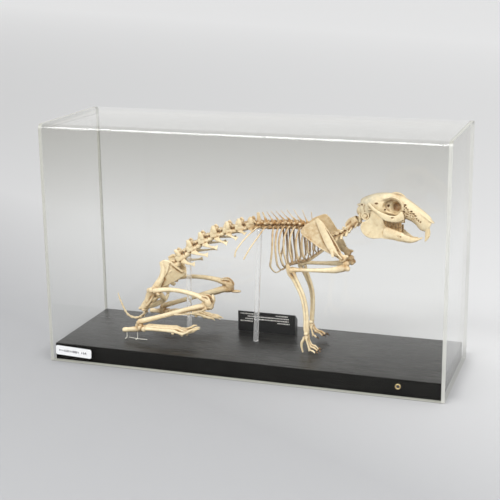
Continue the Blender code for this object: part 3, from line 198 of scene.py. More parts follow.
class BoneSettings(bpy.types.PropertyGroup):
    pale: colour("Pale bone", "Colour of clean, dry bone", (0.85, 0.735, 0.5))
    cream: colour("Cream bone", "Colour of bone between its pale and its warm places", (0.66, 0.5, 0.275))
    # Warm is the colour of the real stains and also of the painted shade in the hollows, under the bones and
    # between them.
    warm: colour("Warm stain", "Colour of the stains in the hollows and at the joints", (0.4, 0.215, 0.07))
    shaded: colour("Shaded edge", "Colour that the bone takes on where it turns away", (0.3, 0.21, 0.11))
    # Dark is painted shade in the deepest pits, where bones crowd close, on the rear sides of the ribs and
    # in the gaps of the loin.
    dark_shade: colour("Dark edge", "Colour of the darkest edges and pits", (0.16, 0.075, 0.025))
    # This grey is painted shade on the top and back of the skull.
    shade_grey: colour("Grey tint", "Colour of the thin bone on top of the skull", (0.42, 0.41, 0.33))
    ivory: colour("Ivory", "Colour of the teeth", (0.8, 0.66, 0.42))
    claw: colour("Claw", "Colour of the claws", (0.035, 0.022, 0.014))
    grain: FloatProperty(name="Fineness", description="Length of the faces of the bones, in millimetres",
                         default=0.36, min=0.2, max=1.5)
    kept: FloatProperty(name="Kept faces", description="Share of the faces that the finished bones keep",
                        subtype="FACTOR", default=0.34, min=0.05, max=1.0)
    smoothing: IntProperty(name="Smoothing", default=5, min=0, max=40,
                           description="Rounds of smoothing where pieces have grown together")


class CaseSettings(bpy.types.PropertyGroup):
    bend: FloatProperty(name="Bend", description="Outer radius of the cover's bends, in millimetres",
                        default=6.0, min=4.5, max=12.0)
    edge: FloatProperty(name="Base edge", description="Rounding of the base's edges, in millimetres",
                        default=1.1, min=0.1, max=4.0)
    tint: colour("Acrylic", "Tint of the clear sheets and rods", (0.996, 0.997, 0.993))
    # The dim top reflection is painted: it darkens the view through the upper sheets.
    dim_top_reflection: colour("Veil", "Tint of the clear sheets near the top", (0.915, 0.913, 0.9))
    top: colour("Top sheet", "Tint of the clear sheet on top", (0.97, 0.97, 0.965))
    # The rim colours paint one cut edge lit and shaded: painted light on the pale rim, painted shade on the
    # lower and top rims.
    rim: colour("Rim", "Colour of the upright cut edges of the sheets", (0.62, 0.62, 0.58))
    low_rim: colour("Lower rim", "Colour of the cut edges at the bottom and on the left", (0.48, 0.48, 0.43))
    top_rim: colour("Top rim", "Colour of the cut edges on top", (0.42, 0.42, 0.37))
    paint: colour("Paint", "Colour of the painted base", (0.008, 0.0077, 0.007))
    worn: colour("Worn paint", "Colour of the rubbed grain of the base", (0.11, 0.108, 0.1))
    paper: colour("Paper", "Colour of the sticker", (0.86, 0.87, 0.88))
    ink: colour("Ink", "Colour of the strokes on the sticker", (0.06, 0.06, 0.07))
    plate: colour("Plate", "Colour of the label block", (0.012, 0.012, 0.012))
    print_colour: colour("Print", "Colour of the strokes on the label", (0.75, 0.74, 0.7))
    metal: colour("Brass", "Colour of the screws", (0.78, 0.6, 0.3))
    wire: colour("Wire", "Colour of the wires under the heel", (0.8, 0.78, 0.7))


class StageSettings(bpy.types.PropertyGroup):
    # The darker floor in front is painted shade; the floor lightens behind the case.
    floor: colour("Floor", "Colour of the floor in front of the case", (0.355, 0.358, 0.366))
    middle_floor: colour("Middle floor", "Colour of the floor behind the case", (0.6, 0.602, 0.606))
    far_floor: colour("Far floor", "Colour of the floor far behind the case", (0.87, 0.872, 0.875))
    sky: FloatProperty(name="Light behind", default=1.05, min=0.0,
                       description="Strength of the soft light from behind")
    shade: FloatProperty(name="Light in front", default=0.72, min=0.0,
                         description="Strength of the soft light from the viewer's side")
    key: FloatProperty(name="Key light", default=31.0, min=0.0, unit="POWER",
                       description="Power of the large light above")
    side: FloatProperty(name="Side light", default=14.0, min=0.0, unit="POWER",
                        description="Power of the light on the right")
    lens: FloatProperty(name="Lens", description="Focal length of the camera, in millimetres", default=85.71,
                        min=10.0, max=300.0)


# Shapes: closed pieces in millimetres


def curve_point(a, b, c, d, t):
    """The place at t of a smooth curve from b to c, with a before it and d after it."""
    bend = (a * 2 - b * 5 + c * 4 - d) * t * t + (b * 3 - a - c * 3 + d) * t ** 3
    return (b * 2 + (c - a) * t + bend) / 2


def smoothed(stations, steps):
    """Rows along a smooth curve through the stations, with steps to each stretch."""
    rows = [np.array(row, float) for row in stations]
    rows = [rows[0] * 2 - rows[1]] + rows + [rows[-1] * 2 - rows[-2]]
    found = []
    for corners in zip(rows, rows[1:], rows[2:], rows[3:]):
        found += [curve_point(*corners, step / steps) for step in range(steps)]
    return found + [rows[-2]]


def rounded_off(rows, roundness):
    """The rows with a few more past each end, so that the bone ends in a soft dome."""
    if roundness <= 0:
        return rows
    ends = []
    for end, inner in ((rows[0], rows[1]), (rows[-1], rows[-2])):
        along = end[:3] - inner[:3]
        along = along / max(np.linalg.norm(along), 1e-6)
        reach = min(end[3], end[4]) * roundness
        extra = []
        for angle in (30, 58, 80):
            turn = math.radians(angle)
            row = np.array(end)
            row[:3] += along * reach * math.sin(turn)
            row[3:] *= math.cos(turn)
            extra.append(row)
        ends.append(extra)
    return ends[0][::-1] + rows + ends[1]


def tube(stations, wide_axis, sides=12, steps=4, roundness=0.7):
    """A bone along stations (x, y, z, half width, half depth), oval across its run."""
    rows = rounded_off(smoothed(stations, steps), roundness)
    places = [Vector(row[:3]) for row in rows]
    points = []
    for i, row in enumerate(rows):
        run = places[min(i + 1, len(rows) - 1)] - places[max(i - 1, 0)]
        deep = run.cross(wide_axis).normalized()
        wide = deep.cross(run).normalized()
        for k in range(sides):
            turn = 2 * math.pi * k / sides
            points.append(places[i] + wide * row[3] * math.cos(turn) + deep * row[4] * math.sin(turn))
    faces = []
    for ring in range(len(rows) - 1):
        for k in range(sides):
            following = (k + 1) % sides
            low = ring * sides
            faces.append((low + k, low + following, low + sides + following, low + sides + k))
    faces.append(tuple(range(sides))[::-1])
    faces.append(tuple(range((len(rows) - 1) * sides, len(rows) * sides)))
    return Piece(points, faces)


def from_bmesh(shape):
    shape.verts.index_update()
    piece = Piece([v.co.copy() for v in shape.verts], [tuple(v.index for v in f.verts) for f in shape.faces])
    shape.free()
    return piece


def knob(centre, sizes, axes=(ALONG_X, ALONG_Y, ALONG_Z), detail=3):
    """An egg of half sizes along three axes."""
    shape = bmesh.new()
    bmesh.ops.create_icosphere(shape, subdivisions=detail, radius=1)
    for vert in shape.verts:
        spread = sum((axis * size * part for axis, size, part in zip(axes, sizes, vert.co)), Vector())
        vert.co = Vector(centre) + spread
    return from_bmesh(shape)


def slab(outline, origin, u_axis, v_axis, thickness, bulge=None):
    """A plate with the outline (u, v), half its thickness each way from the origin's plane."""
    normal = u_axis.cross(v_axis).normalized()
    flat = [Vector(origin) + u_axis * u + v_axis * v for u, v in outline]
    if bulge:
        flat = [place + normal * bulge(u, v) for place, (u, v) in zip(flat, outline)]
    count = len(flat)
    points = [place - normal * thickness / 2 for place in flat]
    points += [place + normal * thickness / 2 for place in flat]
    caps = [tuple(corners) for corners in tessellate_polygon([[Vector((u, v, 0)) for u, v in outline]])]
    faces = [tuple(reversed(cap)) for cap in caps]
    faces += [tuple(i + count for i in cap) for cap in caps]
    faces += [(i, (i + 1) % count, count + (i + 1) % count, count + i) for i in range(count)]
    return Piece(points, faces)


def rounded_outline(outline, steps=4):
    """A closed outline with curves between its points."""
    rows = [np.array(point, float) for point in outline]
    found = []
    count = len(rows)
    for i in range(count):
        corners = [rows[(i + k) % count] for k in (-1, 0, 1, 2)]
        found += [tuple(curve_point(*corners, step / steps)) for step in range(steps)]
    return found


def cylinder(start, end, radius, sides=32):
    run = Vector(end) - Vector(start)
    turn = run.to_track_quat("Z", "Y").to_matrix().to_4x4()
    shape = bmesh.new()
    bmesh.ops.create_cone(
        shape, cap_ends=True, segments=sides, radius1=radius, radius2=radius, depth=run.length,
        matrix=Matrix.Translation((Vector(start) + Vector(end)) / 2) @ turn,
    )
    return from_bmesh(shape)


def hoop(centre, radius, thickness, count=24):
    """A ring that faces the viewer's side."""
    x, y, z = centre
    rows = []
    for step in range(count + 1):
        turn = 2 * math.pi * step / count
        rows.append((x + radius * math.cos(turn), y, z + radius * math.sin(turn), thickness, thickness))
    return tube(rows, ALONG_Y, 10, 1, 0)


def mesh_of(pieces):
    """One mesh, in millimetres, of loose closed pieces."""
    points = []
    faces = []
    for piece in pieces:
        first = len(points)
        points += [tuple(point) for point in piece.points]
        faces += [tuple(first + i for i in face) for face in piece.faces]
    mesh = bpy.data.meshes.new("pieces")
    mesh.from_pydata(points, [], faces)
    shape = bmesh.new()
    shape.from_mesh(mesh)
    bmesh.ops.recalc_face_normals(shape, faces=shape.faces)
    shape.to_mesh(mesh)
    shape.free()
    return mesh


def with_modifiers(mesh, *modifiers):
    """The mesh after the modifiers, each a kind with its settings."""
    item = bpy.data.objects.new("work", mesh)
    bpy.context.scene.collection.objects.link(item)
    for kind, settings in modifiers:
        modifier = item.modifiers.new(kind, kind)
        for key, value in settings.items():
            setattr(modifier, key, value)
    bpy.context.view_layer.update()
    done = bpy.data.meshes.new_from_object(item.evaluated_get(bpy.context.evaluated_depsgraph_get()))
    bpy.data.objects.remove(item, do_unlink=True)
    done.materials.clear()
    return done


# Growing the pieces of a bone together


def numbers(mesh):
    """The points and the edges of a mesh."""
    points = np.empty(len(mesh.vertices) * 3)
    mesh.vertices.foreach_get("co", points)
    edges = np.empty(len(mesh.edges) * 2, np.int64)
    mesh.edges.foreach_get("vertices", edges)
    return points.reshape(-1, 3), edges.reshape(-1, 2)


class Neighbours:
    """The mean of the neighbours of each point of a mesh."""

    def __init__(self, edges, count):
        self.edges = edges
        self.count = count
        self.share = 1 / np.maximum(np.bincount(edges.ravel(), minlength=count), 1)

    def mean(self, values):
        columns = values.reshape(self.count, -1)
        near, far = self.edges.T
        found = np.empty_like(columns)
        for k in range(columns.shape[1]):
            column = columns[:, k]
            total = np.bincount(near, weights=column[far], minlength=self.count)
            total += np.bincount(far, weights=column[near], minlength=self.count)
            found[:, k] = total * self.share
        return found.reshape(values.shape)


def softened(mesh, rounds):
    """Smooth the mesh in place, and keep its volume."""
    points, edges = numbers(mesh)
    near = Neighbours(edges, len(points))
    shrink, swell = 0.55, -0.58
    for _ in range(rounds):
        for share in (shrink, swell):
            points += share * (near.mean(points) - points)
    mesh.vertices.foreach_set("co", points.ravel())
    mesh.update()


def hollows(points, normals, near, rounds, depth):
    """How deep each point lies in a hollow, from -1 on a ridge to 1."""
    smooth = points
    for _ in range(rounds):
        smooth = near.mean(smooth)
    inside = np.einsum("ij,ij->i", smooth - points, normals)
    for _ in range(3):
        inside = near.mean(inside)
    return np.clip(inside / depth, -1, 1)


def crowding(points, normals, reach):
    """How much other bone stands close in front of each point, from 0 to 1."""
    low = points.min(axis=0) - 4 * reach
    size = np.ceil((points.max(axis=0) + 4 * reach - low)).astype(int) + 1
    cells = (points - low).astype(int)
    field = np.bincount(np.ravel_multi_index(cells.T, size), minlength=size.prod())
    field = field.reshape(size).astype(float)
    for axis in range(3):
        for _ in range(int(2 * reach)):
            field = (np.roll(field, 1, axis) + 2 * field + np.roll(field, -1, axis)) / 4
    ahead = (points + normals * reach - low).astype(int)
    found = field[tuple(ahead.T)]
    usual = max(np.percentile(found, 30), 1e-6)
    return np.clip((found / usual - 1.25) / 2.5, 0, 1)


def nearness(points, marks):
    """How near each point is to the marks (place, reach, strength)."""
    found = np.zeros(len(points))
    for place, reach, strength in marks:
        far = np.linalg.norm(points - np.array(place), axis=1) / reach
        found = np.maximum(found, strength * np.clip(1.3 - far, 0, 1))
    return found


def marked(mesh, shade_rule=None, crowd=0.8):
    """Give each point its real stains and painted shade, its painted grey shade and its painted dark shade,
    for the finish to read.
    """
    points, edges = numbers(mesh)
    normals = np.empty(len(points) * 3)
    mesh.vertices.foreach_get("normal", normals)
    normals = normals.reshape(-1, 3)
    near = Neighbours(edges, len(points))
    fine = hollows(points, normals, near, 4, 0.12)
    broad = hollows(points, normals, near, 24, 0.9)
    # Painted shade under the bones, on faces that turn downwards.
    under = np.clip(-normals[:, 2] - 0.2, 0, 1)
    crowded = crowding(points, normals, 2.5)
    for _ in range(4):
        crowded = near.mean(crowded)
    # Painted shade in the fine and broad hollows, under the bones and where other bone stands close; the
    # real warm stains round the joints are added after.
    stain_and_shade = 0.7 * np.maximum(fine, 0) + crowd * np.maximum(broad, 0) + 0.45 * under + crowd * crowded
    stain_and_shade = np.clip(stain_and_shade + nearness(points, STAINS), 0, 1)
    # Painted grey shade on the top and back of the skull.
    shade_grey = nearness(points, GREY_SHADE_MARKS)
    # Painted dark shade in the deepest pits and where other bone stands close, plus what the shade rule
    # adds.
    dark_shade = 1 * np.maximum(fine - 0.3, 0) + crowd * 0.8 * np.maximum(crowded - 0.45, 0)
    dark_shade = np.clip(dark_shade + (shade_rule(points, normals) if shade_rule else 0), 0, 1)
    paint = np.stack([stain_and_shade, shade_grey, dark_shade, np.ones(len(points))], axis=1)
    layer = mesh.attributes.new("marks", "FLOAT_COLOR", "POINT")
    layer.data.foreach_set("color", paint.astype(np.float32).ravel())


def settings():
    scene = bpy.context.scene
    return scene.rabbit_bones, scene.rabbit_case, scene.rabbit_stage


def place_object(name, mesh, finish, nodes=()):
    """A finished object in metres that rides on the frame and stands for its nodes."""
    mesh.transform(Matrix.Scale(MM, 4))
    for each in finish if isinstance(finish, list) else [finish]:
        mesh.materials.append(each)
    item = bpy.data.objects.new(name, mesh)
    bpy.context.scene.collection.objects.link(item)
    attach(item, "root")
    if nodes:
        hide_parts(*nodes)
    return item


def cut(mesh, tool_mesh):
    """The mesh without what the tool's mesh covers."""
    tool = bpy.data.objects.new("tool", tool_mesh)
    bpy.context.scene.collection.objects.link(tool)
    taken = {"operation": "DIFFERENCE", "solver": "MANIFOLD", "object": tool}
    done = with_modifiers(mesh, ("BOOLEAN", taken))
    bpy.data.objects.remove(tool, do_unlink=True)
    return done


def grow_bone(name, pieces, node=None, cutters=(), far=False, fine=1, shade_rule=None, crowd=0.8):
    """Let the pieces grow into one bone, cut it, round it and paint its stains and its painted shade."""
    bones = settings()[0]
    grain = bones.grain * fine * 1
    remesh = ("REMESH", {"mode": "VOXEL", "voxel_size": grain})
    mesh = with_modifiers(mesh_of(pieces), remesh)
    if cutters:
        mesh = with_modifiers(cut(mesh, with_modifiers(mesh_of(cutters), remesh)), remesh)
    softened(mesh, bones.smoothing)
    ripple = ripple_texture()
    mesh = with_modifiers(
        mesh,
        ("DISPLACE", {"texture": ripple, "strength": 0.28, "mid_level": 0.5, "texture_coords": "LOCAL"}),
        ("DECIMATE", {"ratio": bones.kept}),
    )
    marked(mesh, shade_rule, crowd)
    mesh.shade_smooth()
    # The far side's bones take a finish with painted shade.
    kind = "far_bone" if far else "bone"
    return place_object(name, mesh, bone_finish(kind), [node] if node else [])


def ripple_texture():
    texture = bpy.data.textures.get("bone_ripple")
    if texture is None:
        texture = bpy.data.textures.new("bone_ripple", "CLOUDS")
        texture.noise_scale = 3.2
        texture.noise_depth = 2
    return texture


# Frames: a bone's own axes, from its start along its run, with its front and its outer side


def limb_frame(start, end, front_hint, side):
    run = Vector(end) - Vector(start)
    front = Vector(front_hint)
    front = (front - run * front.dot(run) / run.length_squared).normalized()
    outer = run.cross(front).normalized()
    if outer.y * SIDES[side] < 0:
        outer = -outer
    return Frame(Vector(start), run, front, outer)


def spine_frame(back, front):
    """The frame of a vertebra between two joints (x, z), its front being dorsal."""
    start = Vector((back[0], MIDDLE_Y, back[1]))
    run = Vector((front[0], MIDDLE_Y, front[1])) - start
    return Frame(start, run, Vector((-run.z, 0, run.x)).normalized(), ALONG_Y)


def at(frame, u, v, w):
    """The place at u of the run, v mm to the front and w mm out."""
    return frame.start + frame.run * u + frame.front * v + frame.outer * w


def in_frame(frame, rows):
    return [(*at(frame, u, v, w), wide, deep) for u, v, w, wide, deep in rows]


def shaft(frame, rows, sides=14, steps=4, roundness=0.7):
    """A bone along the frame's run: rows of u, v, w, half size to the front, half size out."""
    return tube(in_frame(frame, rows), frame.front, sides, steps, roundness)


def process(frame, rows, sides=10, steps=3, roundness=0.8):
    """A process off the run: rows of u, v, w, half size along the run, half size across."""
    return tube(in_frame(frame, rows), frame.run, sides, steps, roundness)


def both_sides(frame, *processes, roundness=0.8):
    """Processes on both sides, whose rows give w as on the outer side."""
    return [process(frame, [(u, v, w * side, along, across) for u, v, w, along, across in rows],
                    roundness=roundness) for side in SIDES.values() for rows in processes]


def lump(frame, u, v, w, sizes, detail=3):
    axes = (frame.run.normalized(), frame.front, frame.outer)
    return knob(at(frame, u, v, w), sizes, axes, detail)


def lumps(frame, u, v, w, sizes, detail=3):
    """Two lumps, w mm out and w mm in."""
    return [lump(frame, u, v, way * w, sizes, detail) for way in (1, -1)]


def walk(line, lengths):
    """Joints (x, z) along a smooth line, each the given length from the last."""
    fine = [Vector(row) for row in smoothed([(x, z, 0) for x, z in line], 12)]
    joints = [fine[0]]
    wanted = list(lengths)
    left = wanted.pop(0)
    place = fine[0]
    for following in fine[1:]:
        stretch = (following - place).length
        while wanted and stretch >= left:
            place = place + (following - place) * (left / stretch)
            joints.append(place)
            stretch -= left
            left = wanted.pop(0)
        left -= stretch
        place = following
    return [(joint[0], joint[1]) for joint in joints + [fine[-1]]]


def frames_of(joints):
    return [spine_frame(back, front) for back, front in zip(joints, joints[1:])]


def between(a, b, t):
    return tuple(p + (q - p) * t for p, q in zip(a, b))


def mid(x, out, z, side=1):
    """The place that lies so far out of the plane of symmetry."""
    return (x, MIDDLE_Y + side * out, z)


def side_tube(side, rows, wide_axis, *settings):
    """A tube along rows of x, out of the plane of symmetry, z, half width and half depth."""
    return tube([(*mid(*row[:3], side), *row[3:]) for row in rows], wide_axis, *settings)


# Skull and jaw

TOOTH_SPACING = 3.05


# Length of the skull as rows of x, top, underside and half width
SKULL_PROFILE = (
    (117.3, 191.8, 184.4, 5.2), (120.6, 194.8, 176.8, 10.2), (125.5, 198.6, 176, 13),
    (132.5, 201.9, 177, 13.6), (140, 204.1, 178.5, 12), (148, 205, 179.5, 10.2),
    (156, 204.4, 178.4, 9.8), (163.5, 201.8, 177.4, 10.4), (170.5, 197.6, 176.6, 9.4),
    (178.5, 192.2, 174.2, 7.8), (185.5, 187, 169.4, 6.2), (190.6, 182.4, 164, 5.2),
    (195.4, 177.2, 163.4, 4),
)


def skull_half_width(x, z):
    """How far the side of the skull lies from its middle."""
    xs, tops, lows, halves = zip(*SKULL_PROFILE)
    top, low, half = (np.interp(x, xs, column) for column in (tops, lows, halves))
    rise = (z - (top + low) / 2) / ((top - low) / 2)
    return half * math.sqrt(max(1 - rise * rise, 0.05))


def skull_pieces():
    rows = [(x, MIDDLE_Y, (top + low) / 2, half, (top - low) / 2) for x, top, low, half in SKULL_PROFILE]
    nasals = ((178, 0, 189.6, 6.2, 3.2), (188, 0, 183.2, 5.8, 2.8), (194, 0, 178.4, 4.8, 2),
              (198.2, 0, 175.4, 3.6, 0.9), (200.4, 0, 174.2, 2.2, 0.5))
    crest = ((120.5, 0, 190.6, 5.6, 1.8), (115.8, 0, 189.9, 4.2, 0.9))
    pieces = [tube(rows, ALONG_Y, 28, roundness=0.15), side_tube(0, nasals, ALONG_Y, 14),
              side_tube(0, crest, ALONG_Y, 8)]
    for side in SIDES.values():
        pieces += skull_side_pieces(side)
    return pieces


def skull_side_pieces(side):
    arch = (
        (131, 12, 193.4, 2.3, 2), (136.5, 17, 189.8, 2.2, 1.4), (142, 18.8, 186.6, 2, 1.1),
        (148.3, 19.6, 183, 3.5, 1.1), (155, 19.2, 180.9, 3.6, 1.2), (162, 17, 180.4, 4.1, 1.7),
        (167.2, 11.8, 182.6, 5.8, 2.8),
    )
    brow = (
        (145.6, 11.4, 199.6, 1, 0.7), (150, 11.8, 201.4, 1.6, 0.9), (156, 11, 203, 2.6, 0.9),
        (162.6, 11.8, 200.8, 1.6, 0.9), (166.8, 11.2, 195.8, 1.3, 1.2), (167.6, 10.6, 189, 1.3, 1.6),
    )
    gum = ((147, 9.2, 178.6, 2.6, 2.8), (151, 9.8, 178, 3.2, 3.4), (158.4, 9.8, 177.4, 3.5, 3.6),
           (166.8, 9, 177.8, 3.2, 3.6))
    jugular = ((120.6, 9, 181, 2.4, 1.8), (120.4, 9.6, 172.6, 1.1, 0.9))
    ear = ((124.2, 11, 183, 2.5, 2.4), (123.2, 12.9, 188.5, 2.2, 2.1), (123.6, 13.3, 193.4, 2.1, 1.9))
    parts = ((arch, ALONG_Z, 14), (brow, ALONG_Y, 12), (gum, ALONG_Y, 12), (jugular, ALONG_X, 10),
             (ear, ALONG_X, 12))
    return [side_tube(side, *part) for part in parts] + [
        knob(mid(126.3, 8.8, 180.4, side), (4.7, 4.2, 4.7)),
        hoop(mid(126.9, 12.2, 180.2, side), 3.8, 1),
        knob(mid(120.4, 4.2, 176.4, side), (2.6, 2.4, 3.4)),
    ]


# Holes on each side of the skull, as x, out, z and half sizes
SKULL_HOLES = (
    (150.6, 5.6, 191.6, 1.5, 3.6, 1.7), (147.4, 7.4, 187.4, 0.9, 2.6, 1),
    (138.8, 12.4, 194.6, 2.4, 2.6, 1.4), (123.6, 15.2, 193.2, 1.2, 2.6, 1.4),
    (158.8, 19.8, 181.8, 2.6, 1.3, 1.1), (168.8, 13.2, 177.2, 1.4, 4, 1.4),
)


def side_holes(side, holes):
    return [knob(mid(x, out, z, side), sizes, detail=2) for x, out, z, *sizes in holes]


def skull_cutters():
    cutters = [knob(mid(199, 0, 171.2), (7, 3.6, 3.6))]
    orbit = ((155.6, 7.4, 191.8, 8.6, 7.4), (155.6, 11, 191.8, 10.8, 9.8), (155.6, 16.4, 191.8, 11.2, 10.2))
    inner = ((159.6, 3.6, 190.2, 4.8, 5), (158.6, 8, 190.6, 7.4, 7.6), (158.6, 12, 190.8, 8, 8.8))
    for side in SIDES.values():
        cutters += [side_tube(side, orbit, ALONG_X, 24, 4, 0.4), side_tube(side, inner, ALONG_X, 20, 4, 0.6)]
        cutters += side_holes(side, SKULL_HOLES)
        cutters += lattice_cutters(side)
    return cutters


LATTICE_COLUMNS = 9
LATTICE_ROWS = 6
LATTICE_REAR = 168.6
# Larger holes of the lattice, as (x, z)
LATTICE_GAPS = (
    (179.1, 184.4), (169.6, 194), (168.8, 186.4), (171.8, 184), (171.4, 181), (180.8, 182.2), (176.4, 187.2),
)


def lattice_cutters(side):
    """The holes of the open, netted bone of the cheek, in front of the orbit."""
    draw = np.random.default_rng(7)
    holes = []
    for column in range(LATTICE_COLUMNS):
        x = LATTICE_REAR + 2.2 * column
        top = 194.6 - 1.05 * (x - LATTICE_REAR)
        low = 182.4 - 0.42 * (x - LATTICE_REAR)
        for row in range(LATTICE_ROWS):
            z = low + (top - low) * (row + 0.5 * (column % 2)) / (LATTICE_ROWS - 1) + draw.uniform(-0.4, 0.4)
            size = draw.uniform(0.5, 0.92) * (1 if row not in (0, LATTICE_ROWS - 1) else 0.8)
            place = x + draw.uniform(-0.5, 0.5)
            if z > top or (column > 6 and row > 3):
                continue
            holes.append((place, skull_half_width(place, z), z, size * 1.15, draw.uniform(0.9, 1.7), size))
    holes += [(x, skull_half_width(x, z), z, 1.5, 1.7, 1) for x, z in LATTICE_GAPS]
    return side_holes(side, holes)


JAW_OUTLINE = (
    (122.8, 170.2), (122.9, 166), (125, 161.4), (128.8, 158), (134.1, 156.4), (140.3, 155.9),
    (144.7, 156.4), (151.9, 155.6), (158.7, 154.7), (165.5, 153.2), (168.4, 158.5), (167.6, 162.8),
    (161, 164.4), (155.4, 166.9), (150.4, 169.6), (147.6, 173.2), (146.4, 177.6), (141.6, 182.6),
    (136.5, 188), (134, 189), (132.9, 184), (131.8, 178.6), (126.4, 174.4),
)
JAW_RIM = ((125.2, 173.2), (123.6, 169.5), (124.2, 165.2), (127, 161), (131.5, 157.9), (137.5, 156.6))


def jaw_pieces():
    pieces = [knob(mid(175.5, 0, 154.6), (6, 3.2, 2.6))]
    body = (
        (148, 10.4, 163.2, 2.2, 6.4), (157, 9, 160.8, 2.8, 5.9), (165, 7.2, 158.2, 2.8, 4.9),
        (171, 4.8, 155.8, 2.5, 4.2), (176, 2.4, 154.4, 2.4, 3.4), (182.4, 1.8, 155.2, 1.8, 1.9),
    )
    condyle = ((134.5, 13.4, 188, 1.6, 1.2), (130.8, 14.2, 188.2, 1.8, 1.2))
    for side in SIDES.values():
        hinge = Vector(mid(122, 15.2, 0, side))
        lean = (Vector(mid(167, 7.2, 0, side)) - hinge) / 45
        flat = [(x - hinge.x, z) for x, z in rounded_outline(JAW_OUTLINE)]
        rim = [(*(hinge + lean * (x - hinge.x) + ALONG_Z * z), 1.15, 1.3) for x, z in JAW_RIM]
        pieces += [slab(flat, hinge, lean, ALONG_Z, 1.9), tube(rim, ALONG_Y, 10)]
        pieces += [side_tube(side, body, ALONG_Y, 16), side_tube(side, condyle, ALONG_Y, 10)]
    return pieces


def jaw_cutters():
    holes = ((165.6, 9.8, 158.8, 1.1, 1.6, 0.7), (163, 10.4, 159.7, 1.4, 1, 0.5))
    return [hole for side in SIDES.values() for hole in side_holes(side, holes)]


def cheek_teeth(outs, x, count, tips, roots):
    """Ridged cheek teeth side by side, between their slanting lines of tips and of roots."""
    teeth = []
    for side in SIDES.values():
        for number in range(count):
            share = (number + 0.5) / count
            out = outs[0] + (outs[1] - outs[0]) * share
            tip = tips[0] + (tips[1] - tips[0]) * share + 0.35 * math.sin(2.7 * number + 1)
            root = roots[0] + (roots[1] - roots[0]) * share
            for half in (-0.64, 0.64):
                centre = x + TOOTH_SPACING * (number + 0.5) + half
                rows = ((centre, out, root, 0.78, 1.9), (centre, out, tip, 0.74, 1.8))
                teeth.append(side_tube(side, rows, ALONG_X, 10, 3, 0.35))
    return teeth


UPPER_INCISOR = (
    (192.2, 2.1, 170, 1.9, 2.4), (193.4, 1.9, 163.6, 1.8, 2.5), (193.2, 1.8, 159.4, 1.7, 2.3),
    (192.3, 1.7, 156.4, 1.6, 1.7), (191, 1.7, 154, 1.4, 0.5),
)
LOWER_INCISOR = (
    (173, 1.7, 154.4, 1.5, 1.5), (179, 1.6, 154.6, 1.4, 1.4), (184, 1.5, 155.5, 1.35, 1.1),
    (187.6, 1.5, 157, 1.25, 0.35),
)


def incisors(rows):
    return [side_tube(side, rows, ALONG_Y, 12, 5, 0.3) for side in SIDES.values()]


# Spine


def spine_joints():
    return walk(SPINE_LINE, LUMBAR_LENGTHS + THORACIC_LENGTHS + CERVICAL_LENGTHS)


def chest_joints():
    return spine_joints()[LUMBAR_END:THORACIC_END + 1]


def lumbar_pieces(frame, wing, size):
    """One vertebra of the loin: its body, arch, spine, joint lobes and side processes."""
    length = frame.run.length
    along, up, out = wing
    body = shaft(frame, (
        (0.03, 0, 0, 3.9 * size, 5 * size), (0.12, 0, 0, 3.7 * size, 4.8 * size),
        (0.45, 0.2, 0, 2.9 * size, 3.4 * size), (0.84, 0, 0, 3.7 * size, 4.8 * size),
        (0.95, 0, 0, 3.9 * size, 5 * size),
    ), 18, 4, 0.25)
    arch = shaft(frame, (
        (0.10, 5.2 * size, 0, 1.6, 2.2), (0.3, 5 * size, 0, 2.6 * size, 3.4 * size),
        (0.6, 6.2 * size, 0, 4 * size, 4 * size), (0.86, 7.2 * size, 0, 3.4 * size, 4.2 * size),
    ), 16)
    spine = process(frame, ((0.5, 6, 0, 3.6, 1.5), (0.62, 9, 0, 3.2, 1), (0.7, 12.6 * size, 0, 2.2, 0.9)))
    pieces = [body, arch, spine]
    pedicle = ((0.55, 0.5, 3.2, 5.9, 1.7), (0.6, 5.6 * size, 3.7, 5, 1.7))
    lobe = ((0.72, 5, 4.4, 2.8, 1.7), (0.78, 9 * size, 5, 2.7, 1.5), (0.76, 12.6 * size, 4.9, 1.9, 1.1))
    lip = ((0.12, 4.6, 2.4, 1.8, 1.2), (-0.02, 6.6 * size, 2.9, 1.9, 1.1))
    winged = (
        (0.6, -1.2, 2.6, 4.2, 1.5), (0.5 + 0.4 * along / length, up * 0.5, out * 0.58, 1.9, 0.8),
        (0.5 + 0.8 * along / length, up * 0.86, out * 0.9, 1.7, 0.6),
        (0.5 + along / length, up, out, 3.6, 0.6),
    )
    return pieces + both_sides(frame, pedicle, lobe, lip) + both_sides(frame, winged, roundness=0.3)


# How far out the gaps between the joint lobes lie
LOBE_GAPS = (4.4, -4.4)


def lumbar_cutters(frame):
    """The gaps between the vertebra and the one behind it, on both sides."""
    return [process(frame, ((0.02, 2.2, w, 1.1, 1.5), (0.02, 6, w, 1.2, 1.5)), 8, 2) for w in LOBE_GAPS]


BODY_SETTINGS = (14, 4, 0.25)


